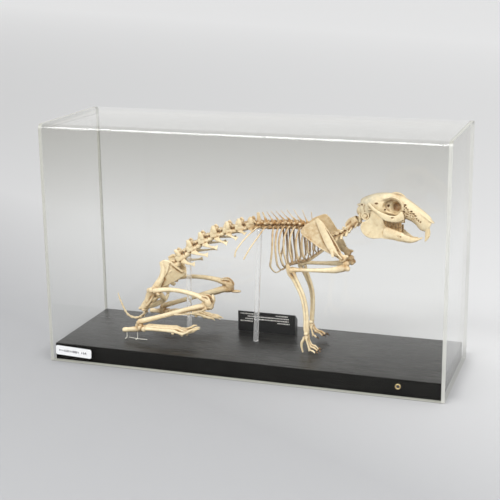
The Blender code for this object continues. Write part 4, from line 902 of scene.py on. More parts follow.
def thoracic_pieces(frame, lean, high, stout):
    """One vertebra of the chest, with its spine leaning along by lean and reaching up to high."""
    length = frame.run.length
    pieces = [
        shaft(frame, ((0.04, 0, 0, 3, 4.1), (0.5, 0.2, 0, 2.2, 2.8), (0.92, 0, 0, 3, 4.1)), *BODY_SETTINGS),
        shaft(frame, ((0.2, 3.8, 0, 1.7, 2.4), (0.86, 4.2, 0, 1.9, 3.4)), 12),
        process(frame, ((0.5, 4, 0, 2.4, 1), (0.5, 8, 0, 1.5 + stout, 0.75),
                        (0.5 + 0.4 * lean / length, 12, 0, 0.6 + stout, 0.5),
                        (0.5 + lean / length, high, 0, 0.42 + stout, 0.42))),
    ]
    pieces += both_sides(frame, ((0.55, 2.6, 2.4, 2, 1.6), (0.6, 5.4, 6.6, 1.5, 1.3)),
                         ((0.7, 4.6, 2.4, 1.4, 1.1), (1.06, 6.4, 2.2, 1.3, 0.9)),
                         ((0.2, 4.6, 2.2, 1.3, 0.9), (-0.1, 7, 2, 0.8, 0.7)))
    return pieces + lumps(frame, 0.62, 5.6, 7, (1.7, 1.5, 1.3), 2)


def cervical_pieces(frame):
    return [
        shaft(frame, ((0.05, 0, 0, 2.6, 4), (0.5, 0.1, 0, 2.3, 3.4), (0.93, 0, 0, 2.6, 4)), *BODY_SETTINGS),
        shaft(frame, ((0.2, 3.2, 0, 1.5, 3.6), (0.86, 3.2, 0, 1.6, 4.2)), 12),
        process(frame, ((0.5, 3.6, 0, 1.6, 0.8), (0.4, 6.2, 0, 0.9, 0.6))),
        *both_sides(frame, ((0.6, -0.8, 3, 2.3, 1.4), (0.3, -3.6, 7.4, 1.9, 0.7)),
                    ((0.75, 2.6, 3.6, 1.7, 1.2), (1, 4, 4.4, 1.4, 0.9)),
                    ((0.2, 2.6, 3.6, 1.4, 1.1), (0, 3.4, 4.2, 1.3, 0.8))),
    ]


AXIS_BLADE = ((110.4, 175.6), (114, 174.2), (112.8, 170), (108, 164), (102.8, 163.4), (101.8, 167.6),
              (105.4, 172.8))


def axis_pieces():
    frame = spine_frame(*AXIS_LINE)
    return [
        shaft(frame, ((0.01, 1.4, 0, 3.6, 4.4), (0.5, 1.8, 0, 3.2, 3.6), (0.97, 1.8, 0, 3.8, 5)), 16),
        slab(rounded_outline(AXIS_BLADE), (0, MIDDLE_Y, 0), ALONG_X, ALONG_Z, 2),
        *both_sides(frame, ((0.4, -0.4, 3, 2.2, 1.3), (-0.1, -2, 6.6, 1.3, 0.8))),
    ]


def atlas_pieces():
    frame = spine_frame(*ATLAS_LINE)
    wing = ((0.5, -1, 4.5, 2.6, 1.6), (0.3, -1.6, 8.6, 3, 1), (0, -2.4, 11.4, 2, 0.7))
    ring = shaft(frame, ((0, 1.4, 0, 5.8, 6.4), (1, 1.4, 0, 5.6, 6.8)), 20, 3, 0.15)
    canal = shaft(frame, ((-0.6, 1.8, 0, 3.7, 3.8), (1.6, 1.8, 0, 3.7, 3.8)), 16)
    return [ring, *both_sides(frame, wing)], [canal]


# How far out the sides of the sacrum's bones reach, and how high their spines stand
SACRAL_OUTS = (11, 7.6, 5.6, 4.6)
SACRAL_HEIGHTS = (11, 13.6, 14.6, 12.6)


def sacral_pieces():
    pieces = []
    for i, (frame, out, high) in enumerate(zip(frames_of(SACRUM_LINE), SACRAL_OUTS, SACRAL_HEIGHTS)):
        size = 1 - 0.17 * i
        body = ((0, 0, 0, 4.2 * size, 6 * size), (0.5, 0.4, 0, 3.5 * size, 5 * size),
                (1, 0, 0, 4 * size, 5.6 * size))
        arch = ((0.05, 4 * size, 0, 2.2 * size, 3 * size), (0.9, 4 * size, 0, 2.2 * size, 2.8 * size))
        spine = ((0.5, 4 * size, 0, 3.6, 1.5), (0.46, high * 0.7, 0, 3, 1.2), (0.42, high, 0, 2.6, 1.5))
        wing = ((0.45, 0.5, 2.5, 4.6 * size, 2.8 * size), (0.5, 0.5, out, 4.2 * size, 2.4 * size))
        lobe = ((0.9, 4 * size, 2.6, 1.5, 1.2), (1, 6.6 * size, 3.2, 1.2, 1))
        pieces += [shaft(frame, body, 16), shaft(frame, arch, 12), process(frame, spine)]
        pieces += both_sides(frame, wing, lobe)
    return pieces


def tail_pieces():
    line = [Vector(row) for row in smoothed([(x, z, 0) for x, z in TAIL_LINE], 6)]
    total = sum((b - a).length for a, b in zip(line, line[1:]))
    longest = 1.5 * total / TAIL_BONES
    shares = [longest * (1 - 0.66 * i / (TAIL_BONES - 1)) for i in range(TAIL_BONES)]
    scale = total / sum(shares)
    joints = walk(TAIL_LINE, [share * scale for share in shares])
    pieces = []
    for i, frame in enumerate(frames_of(joints)):
        size = 1 - 0.72 * i / TAIL_BONES
        body = ((0.02, 0, 0, 2.5 * size, 2.2 * size), (0.5, 0, 0, 1.6 * size, 1.4 * size),
                (0.97, 0, 0, 2.5 * size, 2.2 * size))
        pieces.append(shaft(frame, body, 10, 3, 0.4))
        if i < WINGED_TAIL_BONES:
            wing = ((0.5, 0, 1.2, 1.8 * size, size), (0.42, 0, 4.2 * size * size, 1.2 * size, 0.6))
            pieces += both_sides(frame, wing)
            spine = ((0.5, 1, 0, 1.4 * size, 0.7), (0.5, 3.4 * size, 0, size, 0.6))
            pieces.append(process(frame, spine))
    return pieces


# Ribs


def free_rib_pieces(joints):
    """The last two ribs, which hang free: whole on the right, broken short on the left."""
    back, front = joints[1], joints[2]
    drops = (
        (back, ((-3, 8, 2), (-13.5, 17, -8), (-21, 22, -17.5), (-25, 24, -25),
                (-26, 24, -31))),
        (front, ((-2.5, 8, 1.5), (-9, 17, -9), (-17, 22, -21.5), (-23.5, 23.5, -33.5))),
    )
    pieces = []
    for (x, z), drop in drops:
        whole = [(x, MIDDLE_Y - 2.5, z, 1.2, 1)]
        whole += [(x + dx, MIDDLE_Y - out, z + dz, 0.95, 0.65) for dx, out, dz in drop]
        broken = ((x, MIDDLE_Y + 2.5, z, 1.2, 1), (x - 0.6, MIDDLE_Y + 8, z - 0.5, 1.2, 0.8),
                  (x - 1.6, MIDDLE_Y + 11, z - 4.5, 1.1, 0.8))
        pieces += [tube(whole, ALONG_X, 8), tube(broken, ALONG_X, 8)]
    return pieces


def sternum_height(x):
    for (x0, z0), (x1, z1) in zip(STERNUM_LINE, STERNUM_LINE[1:]):
        if x <= x1:
            return z0 + (z1 - z0) * (x - x0) / (x1 - x0)
    return STERNUM_LINE[-1][1]


def rib(side, head, width, halfway_x, low_x, low_z, dip, end_x):
    """One rib from its head on the spine, round the cage, and on as cartilage to the breastbone."""
    head_x, head_z = head
    rows = []
    for i, (out, down, back) in enumerate(RIB_ARC):
        x = head_x + (halfway_x - head_x) * back + (low_x - halfway_x) * max(2 * down - 1, 0)
        wide = 1.25 if i > 1 else 1.1
        rows.append((x, max(out * width, 2.6), head_z + (low_z - head_z) * down, wide, 0.72))
    end_z = sternum_height(end_x)
    rows += [(low_x + (end_x - low_x) * 0.3, width * 0.62, low_z - dip, 1, 0.7),
             (low_x + (end_x - low_x) * 0.65, width * 0.34, (low_z - dip + end_z) / 2 - 0.6, 0.9, 0.7),
             (end_x, 1.6, end_z, 1, 0.8)]
    return side_tube(side, rows, ALONG_X, 10, 5)


def rib_cage_pieces(name):
    side = SIDES[name]
    chest = chest_joints()
    sternum = [(x, MIDDLE_Y + 1.4 * side, z, 1.9, 1.3) for x, z in STERNUM_LINE]
    pieces = [tube(sternum, ALONG_Z, 10)]
    for number, sizes in enumerate(RIBS):
        pieces.append(rib(side, chest[-1 - number], *sizes))
    return pieces


def rib_shade(points, normals):
    """Painted shade on the rear-facing sides of the ribs and on the inner faces of the far ribs, and darker
    cartilage.
    """
    low = np.clip((138 - points[:, 2]) / 30, 0, 1)
    inner = np.clip((points[:, 1] - MIDDLE_Y) / 20, 0, 1)
    outward = np.clip(normals[:, 1] * np.sign(points[:, 1] - MIDDLE_Y), 0, 1)
    edge = np.clip((0.5 - normals[:, 0]) * 0.9, 0, 0.95) * (1 - 0.35 * low) * (1 - 0.4 * outward)
    return edge + 0.1 * low + 0.25 * inner * (1 - outward)


# Spines of the chest: steepest slant, heights, and how much stouter the two hindmost are
STEEPEST_LEAN = -9.5
LOWEST_SPINE = 16.6
HIGHEST_SPINE = 19.6
STOUT_SPINES = {0: 1.6, 1: 0.5}


def chest_pieces():
    """The vertebrae of the chest, whose middle spines lean back the most, and the free ribs."""
    joints = chest_joints()
    pieces = free_rib_pieces(joints)
    for i, frame in enumerate(frames_of(joints)):
        lean = STEEPEST_LEAN * math.sin(math.pi * (i + 0.3) / len(THORACIC_LENGTHS))
        high = min(LOWEST_SPINE + 0.42 * i, HIGHEST_SPINE)
        pieces += thoracic_pieces(frame, lean, high, STOUT_SPINES.get(i, 0))
    return pieces


def grow_loin():
    """The vertebrae of the loin, with gaps cut between their joint lobes and painted shade in those gaps."""
    pieces, cutters, gaps = [], [], []
    for i, (frame, wing) in enumerate(zip(frames_of(spine_joints()[:LUMBAR_END + 1]), LUMBAR_WINGS)):
        pieces += lumbar_pieces(frame, wing, 1 - 0.02 * i)
        cutters += lumbar_cutters(frame)
        gaps += [(at(frame, 0.02, 4.2, w), 1.9, 0.9) for w in LOBE_GAPS]
    grow_bone("loin_bones", pieces, "lumbar_spine", cutters,
              shade_rule=lambda points, _: nearness(points, gaps))


# Shoulder and fore limb

SCAPULA_OUTLINE = (
    (3, -3), (12, -6.5), (24, -11.9), (36, -15.3), (46, -18.3), (53, -18), (55.2, -13.6),
    (55.2, -6), (53.7, 0.7), (51.2, 7.3), (47, 9), (40, 8), (23.3, 6.2), (10, 3.4), (3, 2.8),
)


def scapula_pieces(name):
    frame = limb_frame(GLENOID[name], SCAPULA_TOP[name], (1, 0, 1), name)
    outline = rounded_outline(SCAPULA_OUTLINE, 5)
    run = frame.run.normalized()
    front_edge, back_edge = (
        [(*(frame.start + run * u + frame.front * v), thick, thick) for u, v in line]
        for line, thick in ((((8, 3.2), (22, 6), (38, 7.8), (46, 8.6)), 0.9),
                            (((8, -4), (24, -11.2), (36, -14.6), (46, -17.4)), 1))
    )
    return [
        slab(outline, frame.start, run, frame.front, 1.15),
        tube(front_edge, ALONG_Y, 8), tube(back_edge, ALONG_Y, 8),
        shaft(frame, ((0.14, -0.4, 4, 2, 0.9), (0.34, -0.7, 3, 4.2, 0.9), (0.55, 1.6, 2.1, 4.5, 0.9),
                      (0.78, 4.3, 1.4, 3.8, 0.8), (1, 6.6, 0.6, 2.2, 0.6)), 16),
        shaft(frame, ((0.25, -0.2, 1.2, 2.6, 1.5), (0.6, 2.2, 0.8, 3.4, 1.3), (0.9, 5.4, 0.4, 2.6, 0.9)),
              12),
        process(frame, ((0.3, -2, 4.4, 2, 0.7), (0.17, -5.4, 4.6, 1.5, 0.6))),
        process(frame, ((0.2, 0.2, 4, 1.5, 0.9), (0.02, 1.2, 5.4, 1.5, 0.9))),
        shaft(frame, ((-0.01, 0, 0, 4.6, 3.8), (0.08, 0, 0, 3.4, 2.4), (0.22, -0.6, 0, 2.4, 0.9))),
        process(frame, ((0.03, 3, 0, 2.2, 1.6), (-0.02, 6.2, -0.6, 1.4, 1.2))),
    ]


def humerus_pieces(name):
    shoulder = Vector(GLENOID[name]) + Vector((2.3, 0, -7.6))
    frame = limb_frame(shoulder, ELBOW[name], (0, 0, -1), name)
    return [
        shaft(frame, ((-0.03, 1, 0, 4.4, 4), (0.1, 2.6, 0.4, 4, 3.2), (0.25, 3.4, 0.6, 3.2, 2.3),
                      (0.5, 2.6, 0.4, 2.4, 2.2), (0.75, 1.4, 0, 2.1, 2.2), (0.9, 0.4, 0, 2.6, 3.2),
                      (0.97, 0.2, 0, 3.2, 4.4), (1.02, 0.2, 0, 2.6, 4.2))),
        lump(frame, -0.02, -2.2, -0.6, (4.2, 3.8, 4)),
        lump(frame, -0.05, 2.6, 2.4, (3.2, 3, 2.4)),
        lump(frame, -0.04, 3.4, -1.8, (2.6, 2.4, 2)),
        shaft(frame, ((0.06, 5, 1, 1.4, 1), (0.22, 5.8, 0.8, 1.2, 0.8), (0.36, 4.4, 0.4, 1, 0.8)), 8),
        lump(frame, 0.99, 0.4, 2.6, (3, 3.2, 1.8)),
        lump(frame, 0.99, 0.4, -2.6, (3.2, 3.4, 2)),
    ]


def radius_pieces(name):
    frame = forearm_frame(name)
    return [shaft(frame, (
        (0.02, 2.6, 0.8, 2.2, 3), (0.06, 3, 0.8, 1.8, 2.4), (0.12, 3.6, 0.8, 1.7, 2.1),
        (0.25, 5.4, 0.4, 1.7, 2), (0.4, 7.1, 0.2, 1.7, 1.9), (0.57, 7.2, 0, 1.7, 2),
        (0.77, 5.1, -0.2, 1.8, 2.2), (0.95, 2, -0.4, 2.2, 2.9), (1, 1.4, -0.4, 2.2, 2.8),
    ))]


def ulna_pieces(name):
    frame = forearm_frame(name)
    return [
        shaft(frame, (
            (-0.12, -2.4, 0, 2, 1.8), (-0.06, -2.9, 0, 2.7, 1.9), (0.03, -2.7, 0, 2.5, 1.9),
            (0.1, -0.8, 0, 2.1, 1.7), (0.25, 2, 0.6, 1.7, 1.5), (0.4, 3.9, 1, 1.5, 1.4),
            (0.57, 4.1, 1.2, 1.4, 1.4), (0.77, 2.3, 1.4, 1.4, 1.4), (0.95, -0.6, 1.8, 1.5, 1.5),
            (1.02, -1.2, 2, 1.1, 1.2),
        )),
        process(frame, ((0.02, -1.5, 0, 1.6, 2), (0, 0.8, -0.8, 1, 1.6))),
    ]


def forearm_frame(name):
    start = Vector(ELBOW[name]) + Vector((0.5, 0, -2.2))
    return limb_frame(start, WRIST[name], (1, 0, 0), name)


# Fingers from the thumb out: place across the palm, spread, length and how high the knuckle stands
FINGERS = (
    (-6.2, 0, 0.50, 1), (-3.4, 0.10, 0.88, 4.6), (-0.4, 0, 1, 5.4), (2.6, -0.05, 0.98, 4),
    (5.6, -0.12, 0.86, 1.4),
)


def finger_bone(start, end, wide, waist):
    """A small long bone with a knob at each end, thinnest at its waist."""
    shape = ((0, 1, 1), (0.16, 0.9, 0.88), (0.5, waist, waist), (0.84, 0.86, 0.84), (1, 0.96, 0.94))
    rows = [(*between(start, end, share), wide * across, wide * deep) for share, across, deep in shape]
    return tube(rows, ALONG_Y, 10, 3, 0.6)


def digit(joints, sizes, waists):
    """The bones of a finger or toe between its joints."""
    return [finger_bone(start, end, wide, waist)
            for start, end, wide, waist in zip(joints, joints[1:], sizes, waists)]


def claw_tube(last, claw, rise, thick):
    """A claw that starts at the last joint, bends up by rise on its way and ends at its tip."""
    bend = (last[0] + (claw[0] - last[0]) * 0.5, last[1] + (claw[1] - last[1]) * 0.5, rise)
    return tube([(*place, *sizes) for place, sizes in zip((last, bend, claw), thick)], ALONG_Y, 8)


def hand_pieces(name):
    """The wrist bones in two rows, and the bones of five fingers."""
    side = SIDES[name]
    wrist = Vector(WRIST[name])
    tip = Vector(FINGER_TIP[name])
    floor = BASE_HEIGHT + 0.3 if name == "right" else tip.z - 1.5
    pieces = []
    for row, (drop, out_step) in enumerate(((1.8, 2.3), (5.4, 2))):
        for number in (-1.5, -0.5, 0.5, 1.5):
            place = wrist + Vector((0.3 + 0.3 * row, number * out_step, -drop - 0.3 * abs(number)))
            pieces.append(knob(place, (2.4, 1.5, 2.1)))
    pieces.append(tube(((wrist.x - 1.6, wrist.y + 2.5 * side, wrist.z - 8, 2.2, 1.8),
                        (wrist.x - 4.4, wrist.y + 3 * side, wrist.z - 13, 1.9, 1.7),
                        (wrist.x - 4.6, wrist.y + 3.2 * side, wrist.z - 18.6, 1.3, 1.3),
                        (wrist.x - 3.2, wrist.y + 3.2 * side, wrist.z - 23.8, 0.9, 0.9)), ALONG_Y, 10))
    pieces.append(knob(wrist + Vector((-1.8, 2 * side, -8)), (2.3, 2, 2.6)))
    palm = Vector((wrist.x + 0.8, wrist.y, wrist.z - 7))
    claws = []
    for out, spread, size, lift in FINGERS:
        reach = (tip.x - palm.x) * size
        y = palm.y + side * out * 0.8
        fan = side * (out + 8 * spread)
        start = (palm.x, y, palm.z)
        knuckle = (palm.x + reach * 0.32, y + fan * 0.2, floor + 4 + lift)
        joint = (palm.x + reach * 0.62, y + fan * 0.4, floor + 3.6 + lift * 0.8)
        last = (palm.x + reach * 0.84, y + fan * 0.5, floor + 2.2 + lift * 0.5)
        claw = (palm.x + reach * 1.12, y + fan * 0.6, floor + 0.8 + lift * 0.5)
        pieces += digit((start, knuckle, joint, last), (1.45, 1.35, 1.15), (0.68, 0.68, 0.8))
        pieces.append(knob((knuckle[0] - 0.4, knuckle[1], knuckle[2] - 1.2), (1.1, 0.9, 0.9), detail=2))
        claws.append(claw_tube(last, claw, last[2] + 0.7, ((1, 1.05), (0.75, 0.85), (0.25, 0.25))))
    return pieces, claws


# Pelvis and hind limb

# Hip bone, measured from its joint: faces as (x, z), and rows of x, out, z, half width and half depth
OUTER_FACE = (
    (6.3, 32.2), (11.8, 35.2), (18.2, 34.2), (15.6, 23), (9.6, 12.5), (6.2, 4), (-5.8, 0.4), (-1.4, 6.1),
    (2.9, 13.5), (5.8, 19), (7, 26.1),
)
INNER_FACE = (
    (17, 33.5), (14, 22), (8, 12), (2, 2.5), (8, 3), (16.3, 6.7), (28.3, 13.8), (33.9, 20.4),
    (25.1, 27.5), (19, 34.4),
)
# The line where the inner face folds inwards, as heights and the x that goes with each
CREASE = ((2, 6, 12, 22, 31), (2, 4, 8, 14, 17))
HIP_NECK = ((8, 14, 14, 3.6, 1.8), (3.6, 14.4, 7.5, 4.4, 2.6), (0, 14.8, 0, 5.6, 3.8))
HIP_RIDGE = (
    (8.8, 13.8, 32, 1.8, 1.1), (10.4, 14.2, 23, 2.6, 1.5), (7.4, 14.8, 13, 2.9, 2.2),
    (2.2, 15.4, 4.6, 3.2, 2.8),
)
HIP_CREST = (
    (6.6, 13.2, 32.4, 1.4, 1.3), (11.8, 13.2, 35, 1.7, 1.5), (18.4, 12.6, 34, 1.5, 1.3),
    (25, 10, 27.6, 1.2, 1.1), (31.6, 6.4, 21.4, 0.9, 0.9),
)
ISCHIUM = (
    (0, 14.4, 0, 5.4, 3.6), (-7.6, 13.4, -7, 4.9, 2.4), (-10.6, 12.8, -15, 4.6, 2),
    (-15, 12.4, -21, 4.4, 2.6), (-18.8, 12.2, -25.6, 3.4, 2.6),
)
PUBIS = (
    (2, 13.6, -2, 3.4, 2.4), (6.5, 8, -10, 2.4, 1.7), (4.5, 2.2, -16.5, 2.8, 1.7), (-4, 1.9, -21.5, 3, 1.6),
    (-12, 2.2, -25, 2.8, 1.6), (-17.5, 7, -25.5, 2.4, 1.8), (-19, 12, -25, 2.8, 1.8),
)
HIP_STRUT = ((-2, 14.4, -6, 1.6, 1.6), (-6.6, 14.6, -14, 1.5, 1.5), (-12, 13.8, -21, 1.7, 1.6))
HIP_TUBES = (
    (HIP_NECK, ALONG_X, 16), (HIP_RIDGE, ALONG_X, 12), (HIP_CREST, ALONG_Z, 10),
    (ISCHIUM, ALONG_X, 16), (PUBIS, ALONG_Z, 14), (HIP_STRUT, ALONG_X, 10),
)
HIP_KNOBS = (
    (0, 16.6, 0, 5.4, 2.2, 5.2), (-21.4, 12.6, -25.4, 2, 2.4, 1.8), (-17, 13.4, -26.8, 2.4, 2.2, 1.8),
    (-8.6, 14.2, -2.4, 3.2, 2.2, 3.6),
)


def hip_bone_pieces(name):
    side = SIDES[name]
    hip = Vector(HIP[name])

    def folded(u, v):
        """How far the inner face bends out of its plane past the crease."""
        return side * 0.5 * max(u - np.interp(v, *CREASE), 0)

    origin = mid(hip.x, 13.4, hip.z, side)
    return [
        slab(rounded_outline(OUTER_FACE), origin, ALONG_X, ALONG_Z, 2.2),
        slab(rounded_outline(INNER_FACE), origin, ALONG_X, ALONG_Z, 1.8, folded),
        *(side_tube(side, [(hip.x + x, out, hip.z + z, *sizes) for x, out, z, *sizes in rows], *settings)
          for rows, *settings in HIP_TUBES),
        *(knob(mid(hip.x + x, out, hip.z + z, side), sizes) for x, out, z, *sizes in HIP_KNOBS),
    ]


def femur_pieces(name):
    frame = limb_frame(HIP[name], KNEE[name], (0, 0, 1), name)
    return [
        shaft(frame, ((0.06, 1.6, 7.4, 3.6, 2.9), (0.13, 3.2, 7, 3.2, 3), (0.23, 5.2, 6, 2.8, 2.7),
                      (0.40, 6.6, 4.2, 2.6, 2.5), (0.60, 6.4, 2.8, 2.65, 2.6), (0.78, 4.8, 1.6, 2.9, 3.1),
                      (0.90, 2.6, 0.4, 3.6, 4.4), (0.99, 0.8, 0, 4.6, 5.4))),
        lump(frame, 0, 0, -0.2, (3.5, 3.5, 3.5)),
        process(frame, ((0, 0, 0.5, 2.3, 2.3), (0.04, 1.2, 7, 3.2, 2.6))),
        lump(frame, 0, 2, 8.2, (3.6, 3.6, 2.6)),
        *lumps(frame, 1.02, -1.6, 3.6, (4.8, 5, 2.6)),
        *lumps(frame, 0.97, -5.6, 3.4, (1.7, 1.5, 1.5), 2),
        lump(frame, 0.14, -0.6, 8.6, (2.6, 1.6, 1.8)),
        *(shaft(frame, ((0.9, 5.4, 2.8 * way, 1.1, 1), (0.99, 5.8, 3 * way, 1.3, 1.1),
                        (1.05, 2.6, 3.2 * way, 1.1, 1)), 8) for way in (1, -1)),
    ]


def shin_pieces(name):
    knee = Vector(KNEE[name]) + Vector((0, 0, -5.5))
    frame = limb_frame(knee, ANKLE[name], (0, 0, 1), name)
    return [
        shaft(frame, (
            (-0.03, -0.6, 0, 4.8, 5.8), (0.01, -0.2, 0, 4.8, 5.6), (0.06, 0.3, 0, 4.2, 4.4),
            (0.14, 0.8, -0.4, 3.8, 3.2), (0.28, 1, -0.6, 3.1, 2.7), (0.5, 0.6, -0.4, 2.8, 2.6),
            (0.75, 0.2, 0, 2.8, 2.7), (0.93, 0, 0, 3.2, 3.5), (0.99, 0, 0, 3.2, 3.9),
        )),
        shaft(frame, ((0.02, -1.6, 5.4, 2, 1.4), (0.12, -3.6, 4.8, 0.9, 0.8), (0.3, -3.4, 3.2, 0.8, 0.7),
                      (0.48, -1, 1.4, 1, 0.9)), 10),
        process(frame, ((0.04, 3, 0, 3, 1.6), (0.06, 5.6, 0, 2.2, 1.1))),
        *lumps(frame, 0, -0.4, 3, (2.4, 3.6, 2.4)),
        *lumps(frame, 1, -0.4, 3, (2, 2.4, 1.4)),
    ]


PATELLA = {
    "right": ((-43.2, -25, 73.5), (-45.6, -25, 80.6)),
    "left": ((-44.6, 34, 68.4), (-32.6, 34, 69.2)),
}


def patella_pieces(name):
    low, high = PATELLA[name]
    return [tube(((*low, 1.6, 1.1), (*between(low, high, 0.5), 2.8, 1.8), (*high, 1.8, 1.2)), ALONG_Y, 12)]


# Toes from the inner side out: place across the foot, length, and how high the long bone and the toe stand
TOES = ((6.2, 0.9, 0.4, -0.8), (2.1, 0.98, 1.4, -0.7), (-2.1, 0.95, 1.6, -0.2), (-6.2, 0.87, 1.2, 0.4))


def ankle_pieces(name):
    side = SIDES[name]
    heel = Vector(HEEL[name])
    ankle = Vector(ANKLE[name])
    middle = Vector(MIDFOOT[name])
    heel_bone = [(*between(heel, middle, share), wide, deep) for share, wide, deep in (
        (0, 3.2, 2.9), (0.10, 2.8, 3), (0.22, 2.1, 2.7), (0.5, 3.4, 3.3), (0.8, 3.9, 3.2))]
    instep = ((ankle.x + 2, ankle.y, ankle.z - 6, 3.2, 2.4),
              (middle.x - 4, middle.y - 1 * side, middle.z + 0.8, 3.6, 2.8))
    pieces = [
        tube(heel_bone, ALONG_Y, 14),
        *(knob(ankle + Vector((0.5, across, -4.4)), (4.6, 1.7, 3.6)) for across in (1.6, -1.6)),
        tube(instep, ALONG_Y, 12),
    ]
    for number in (-1.5, -0.5, 0.5, 1.5):
        pieces.append(knob(middle + Vector((-2.2, number * 2.9, 0.6 - 0.5 * abs(number))), (3.2, 2, 3.2)))
        pieces.append(knob(middle + Vector((-7.6, number * 2.3, 1.4 - 0.5 * abs(number))), (2.9, 1.8, 2.9)))
    return pieces


def foot_pieces(name):
    """Four long bones of the foot with the bones of their toes."""
    side = SIDES[name]
    middle = Vector(MIDFOOT[name])
    tip = Vector(TOE_TIP[name])
    pieces = []
    claws = []
    for out, size, lift, dip in TOES:
        y = middle.y + side * out * 0.8
        fan = side * out
        reach = (tip.x - middle.x) * size
        drop = tip.z - middle.z
        start = (middle.x + 1, y, middle.z + 0.8 + lift)
        knuckle = (middle.x + reach * 0.60, y + fan * 0.22, middle.z + 1.6 + lift)
        joint = (middle.x + reach * 0.78, y + fan * 0.34, middle.z + 0.4 + dip)
        last = (middle.x + reach * 0.90, y + fan * 0.40, middle.z + 0.8 + 0.4 * drop + 0.6 * dip)
        claw = (middle.x + reach * 1.03, y + fan * 0.44, middle.z + 0.9 + 0.95 * drop + 0.4 * dip)
        pieces += digit((start, knuckle, joint, last), (2.55, 2.3, 1.9), (0.78, 0.7, 0.8))
        for across in (-0.9, 0.9):
            under = (knuckle[0] - 0.8, knuckle[1] + across, knuckle[2] - 2.6)
            pieces.append(knob(under, (1.9, 1, 1.5), detail=2))
        pieces.append(knob((joint[0] - 0.2, joint[1], joint[2] - 1.7), (1.5, 1.2, 1.2), detail=2))
        rise = (last[2] + claw[2]) / 2 + 0.9
        claws.append(claw_tube(last, claw, rise, ((1.45, 1.5), (1.1, 1.25), (0.35, 0.35))))
    return pieces, claws


# Finishes


RANGE_SOCKETS = ("From Min", "From Max", "To Min", "To Max")


class Graph:
    """A finish's nodes, added one after another."""

    def __init__(self, name):
        self.finish = bpy.data.materials.new(name)
        self.finish.use_nodes = True
        self.tree = self.finish.node_tree
        self.shader = self.tree.nodes["Principled BSDF"]
        self.output = self.tree.nodes["Material Output"]

    def node(self, kind, settings=(), **inputs):
        made = self.tree.nodes.new(kind)
        for key, value in dict(settings).items():
            setattr(made, key, value)
        for key, value in inputs.items():
            self.feed(made.inputs[key.replace("_", " ")], value)
        return made

    def feed(self, socket, value):
        if isinstance(value, bpy.types.NodeSocket):
            self.tree.links.new(value, socket)
        elif hasattr(socket.default_value, "__len__") and len(socket.default_value) == 4 and len(value) == 3:
            socket.default_value = (*value, 1.0)
        else:
            socket.default_value = value

    def set(self, **inputs):
        for key, value in inputs.items():
            self.feed(self.shader.inputs[key.replace("_", " ")], value)

    def where(self):
        return self.node("ShaderNodeTexCoord").outputs["Object"]

    def noise(self, scale, detail=3.0, roughness=0.5, vector=None, distortion=0.0):
        made = self.node("ShaderNodeTexNoise", Vector=vector or self.where(), Scale=scale, Detail=detail,
                         Roughness=roughness, Distortion=distortion)
        return made.outputs["Fac"]

    def ramp(self, value, low, high, out_low=0.0, out_high=1.0):
        made = self.node("ShaderNodeMapRange", Value=value)
        for key, number in zip(RANGE_SOCKETS, (low, high, out_low, out_high)):
            made.inputs[key].default_value = number
        return made.outputs["Result"]

    def mix(self, share, first, second):
        made = self.node("ShaderNodeMix", {"data_type": "RGBA"})
        for number, value in ((0, share), (6, first), (7, second)):
            self.feed(made.inputs[number], value)
        return made.outputs[2]

    def maths(self, operation, first, second):
        made = self.node("ShaderNodeMath", {"operation": operation})
        self.feed(made.inputs[0], first)
        self.feed(made.inputs[1], second)
        return made.outputs[0]

    def times(self, first, second):
        return self.maths("MULTIPLY", first, second)

    def plus(self, first, second):
        return self.maths("ADD", first, second)

    def parts(self, place):
        return self.node("ShaderNodeSeparateXYZ", Vector=place).outputs

    def streaks(self, scale, detail, roughness, distortion=0.0):
        """A noise stretched by its own scale along each axis."""
        made = self.node("ShaderNodeMapping", Vector=self.where())
        made.inputs["Scale"].default_value = scale
        return self.noise(1.0, detail, roughness, made.outputs["Vector"], distortion)

    def lamp_rays(self):
        """1 for rays that only carry light, 0 for those that show the thing itself."""
        path = self.node("ShaderNodeLightPath")
        return self.maths("MAXIMUM", path.outputs["Is Shadow Ray"], path.outputs["Is Diffuse Ray"])

    def mix_shaders(self, share, first, second):
        both = self.node("ShaderNodeMixShader")
        self.feed(both.inputs[0], share)
        self.tree.links.new(first, both.inputs[1])
        self.tree.links.new(second, both.inputs[2])
        self.tree.links.new(both.outputs[0], self.output.inputs["Surface"])
        return both.outputs[0]

    def bump(self, height, strength, distance):
        made = self.node("ShaderNodeBump", Height=height, Strength=strength, Distance=distance)
        self.set(Normal=made.outputs["Normal"])


def cached(name, make, *choices):
    return bpy.data.materials.get(name) or make(name, *choices)


def bone_finish(kind):
    return cached(kind + "_finish", make_bone_finish, kind == "far_bone")


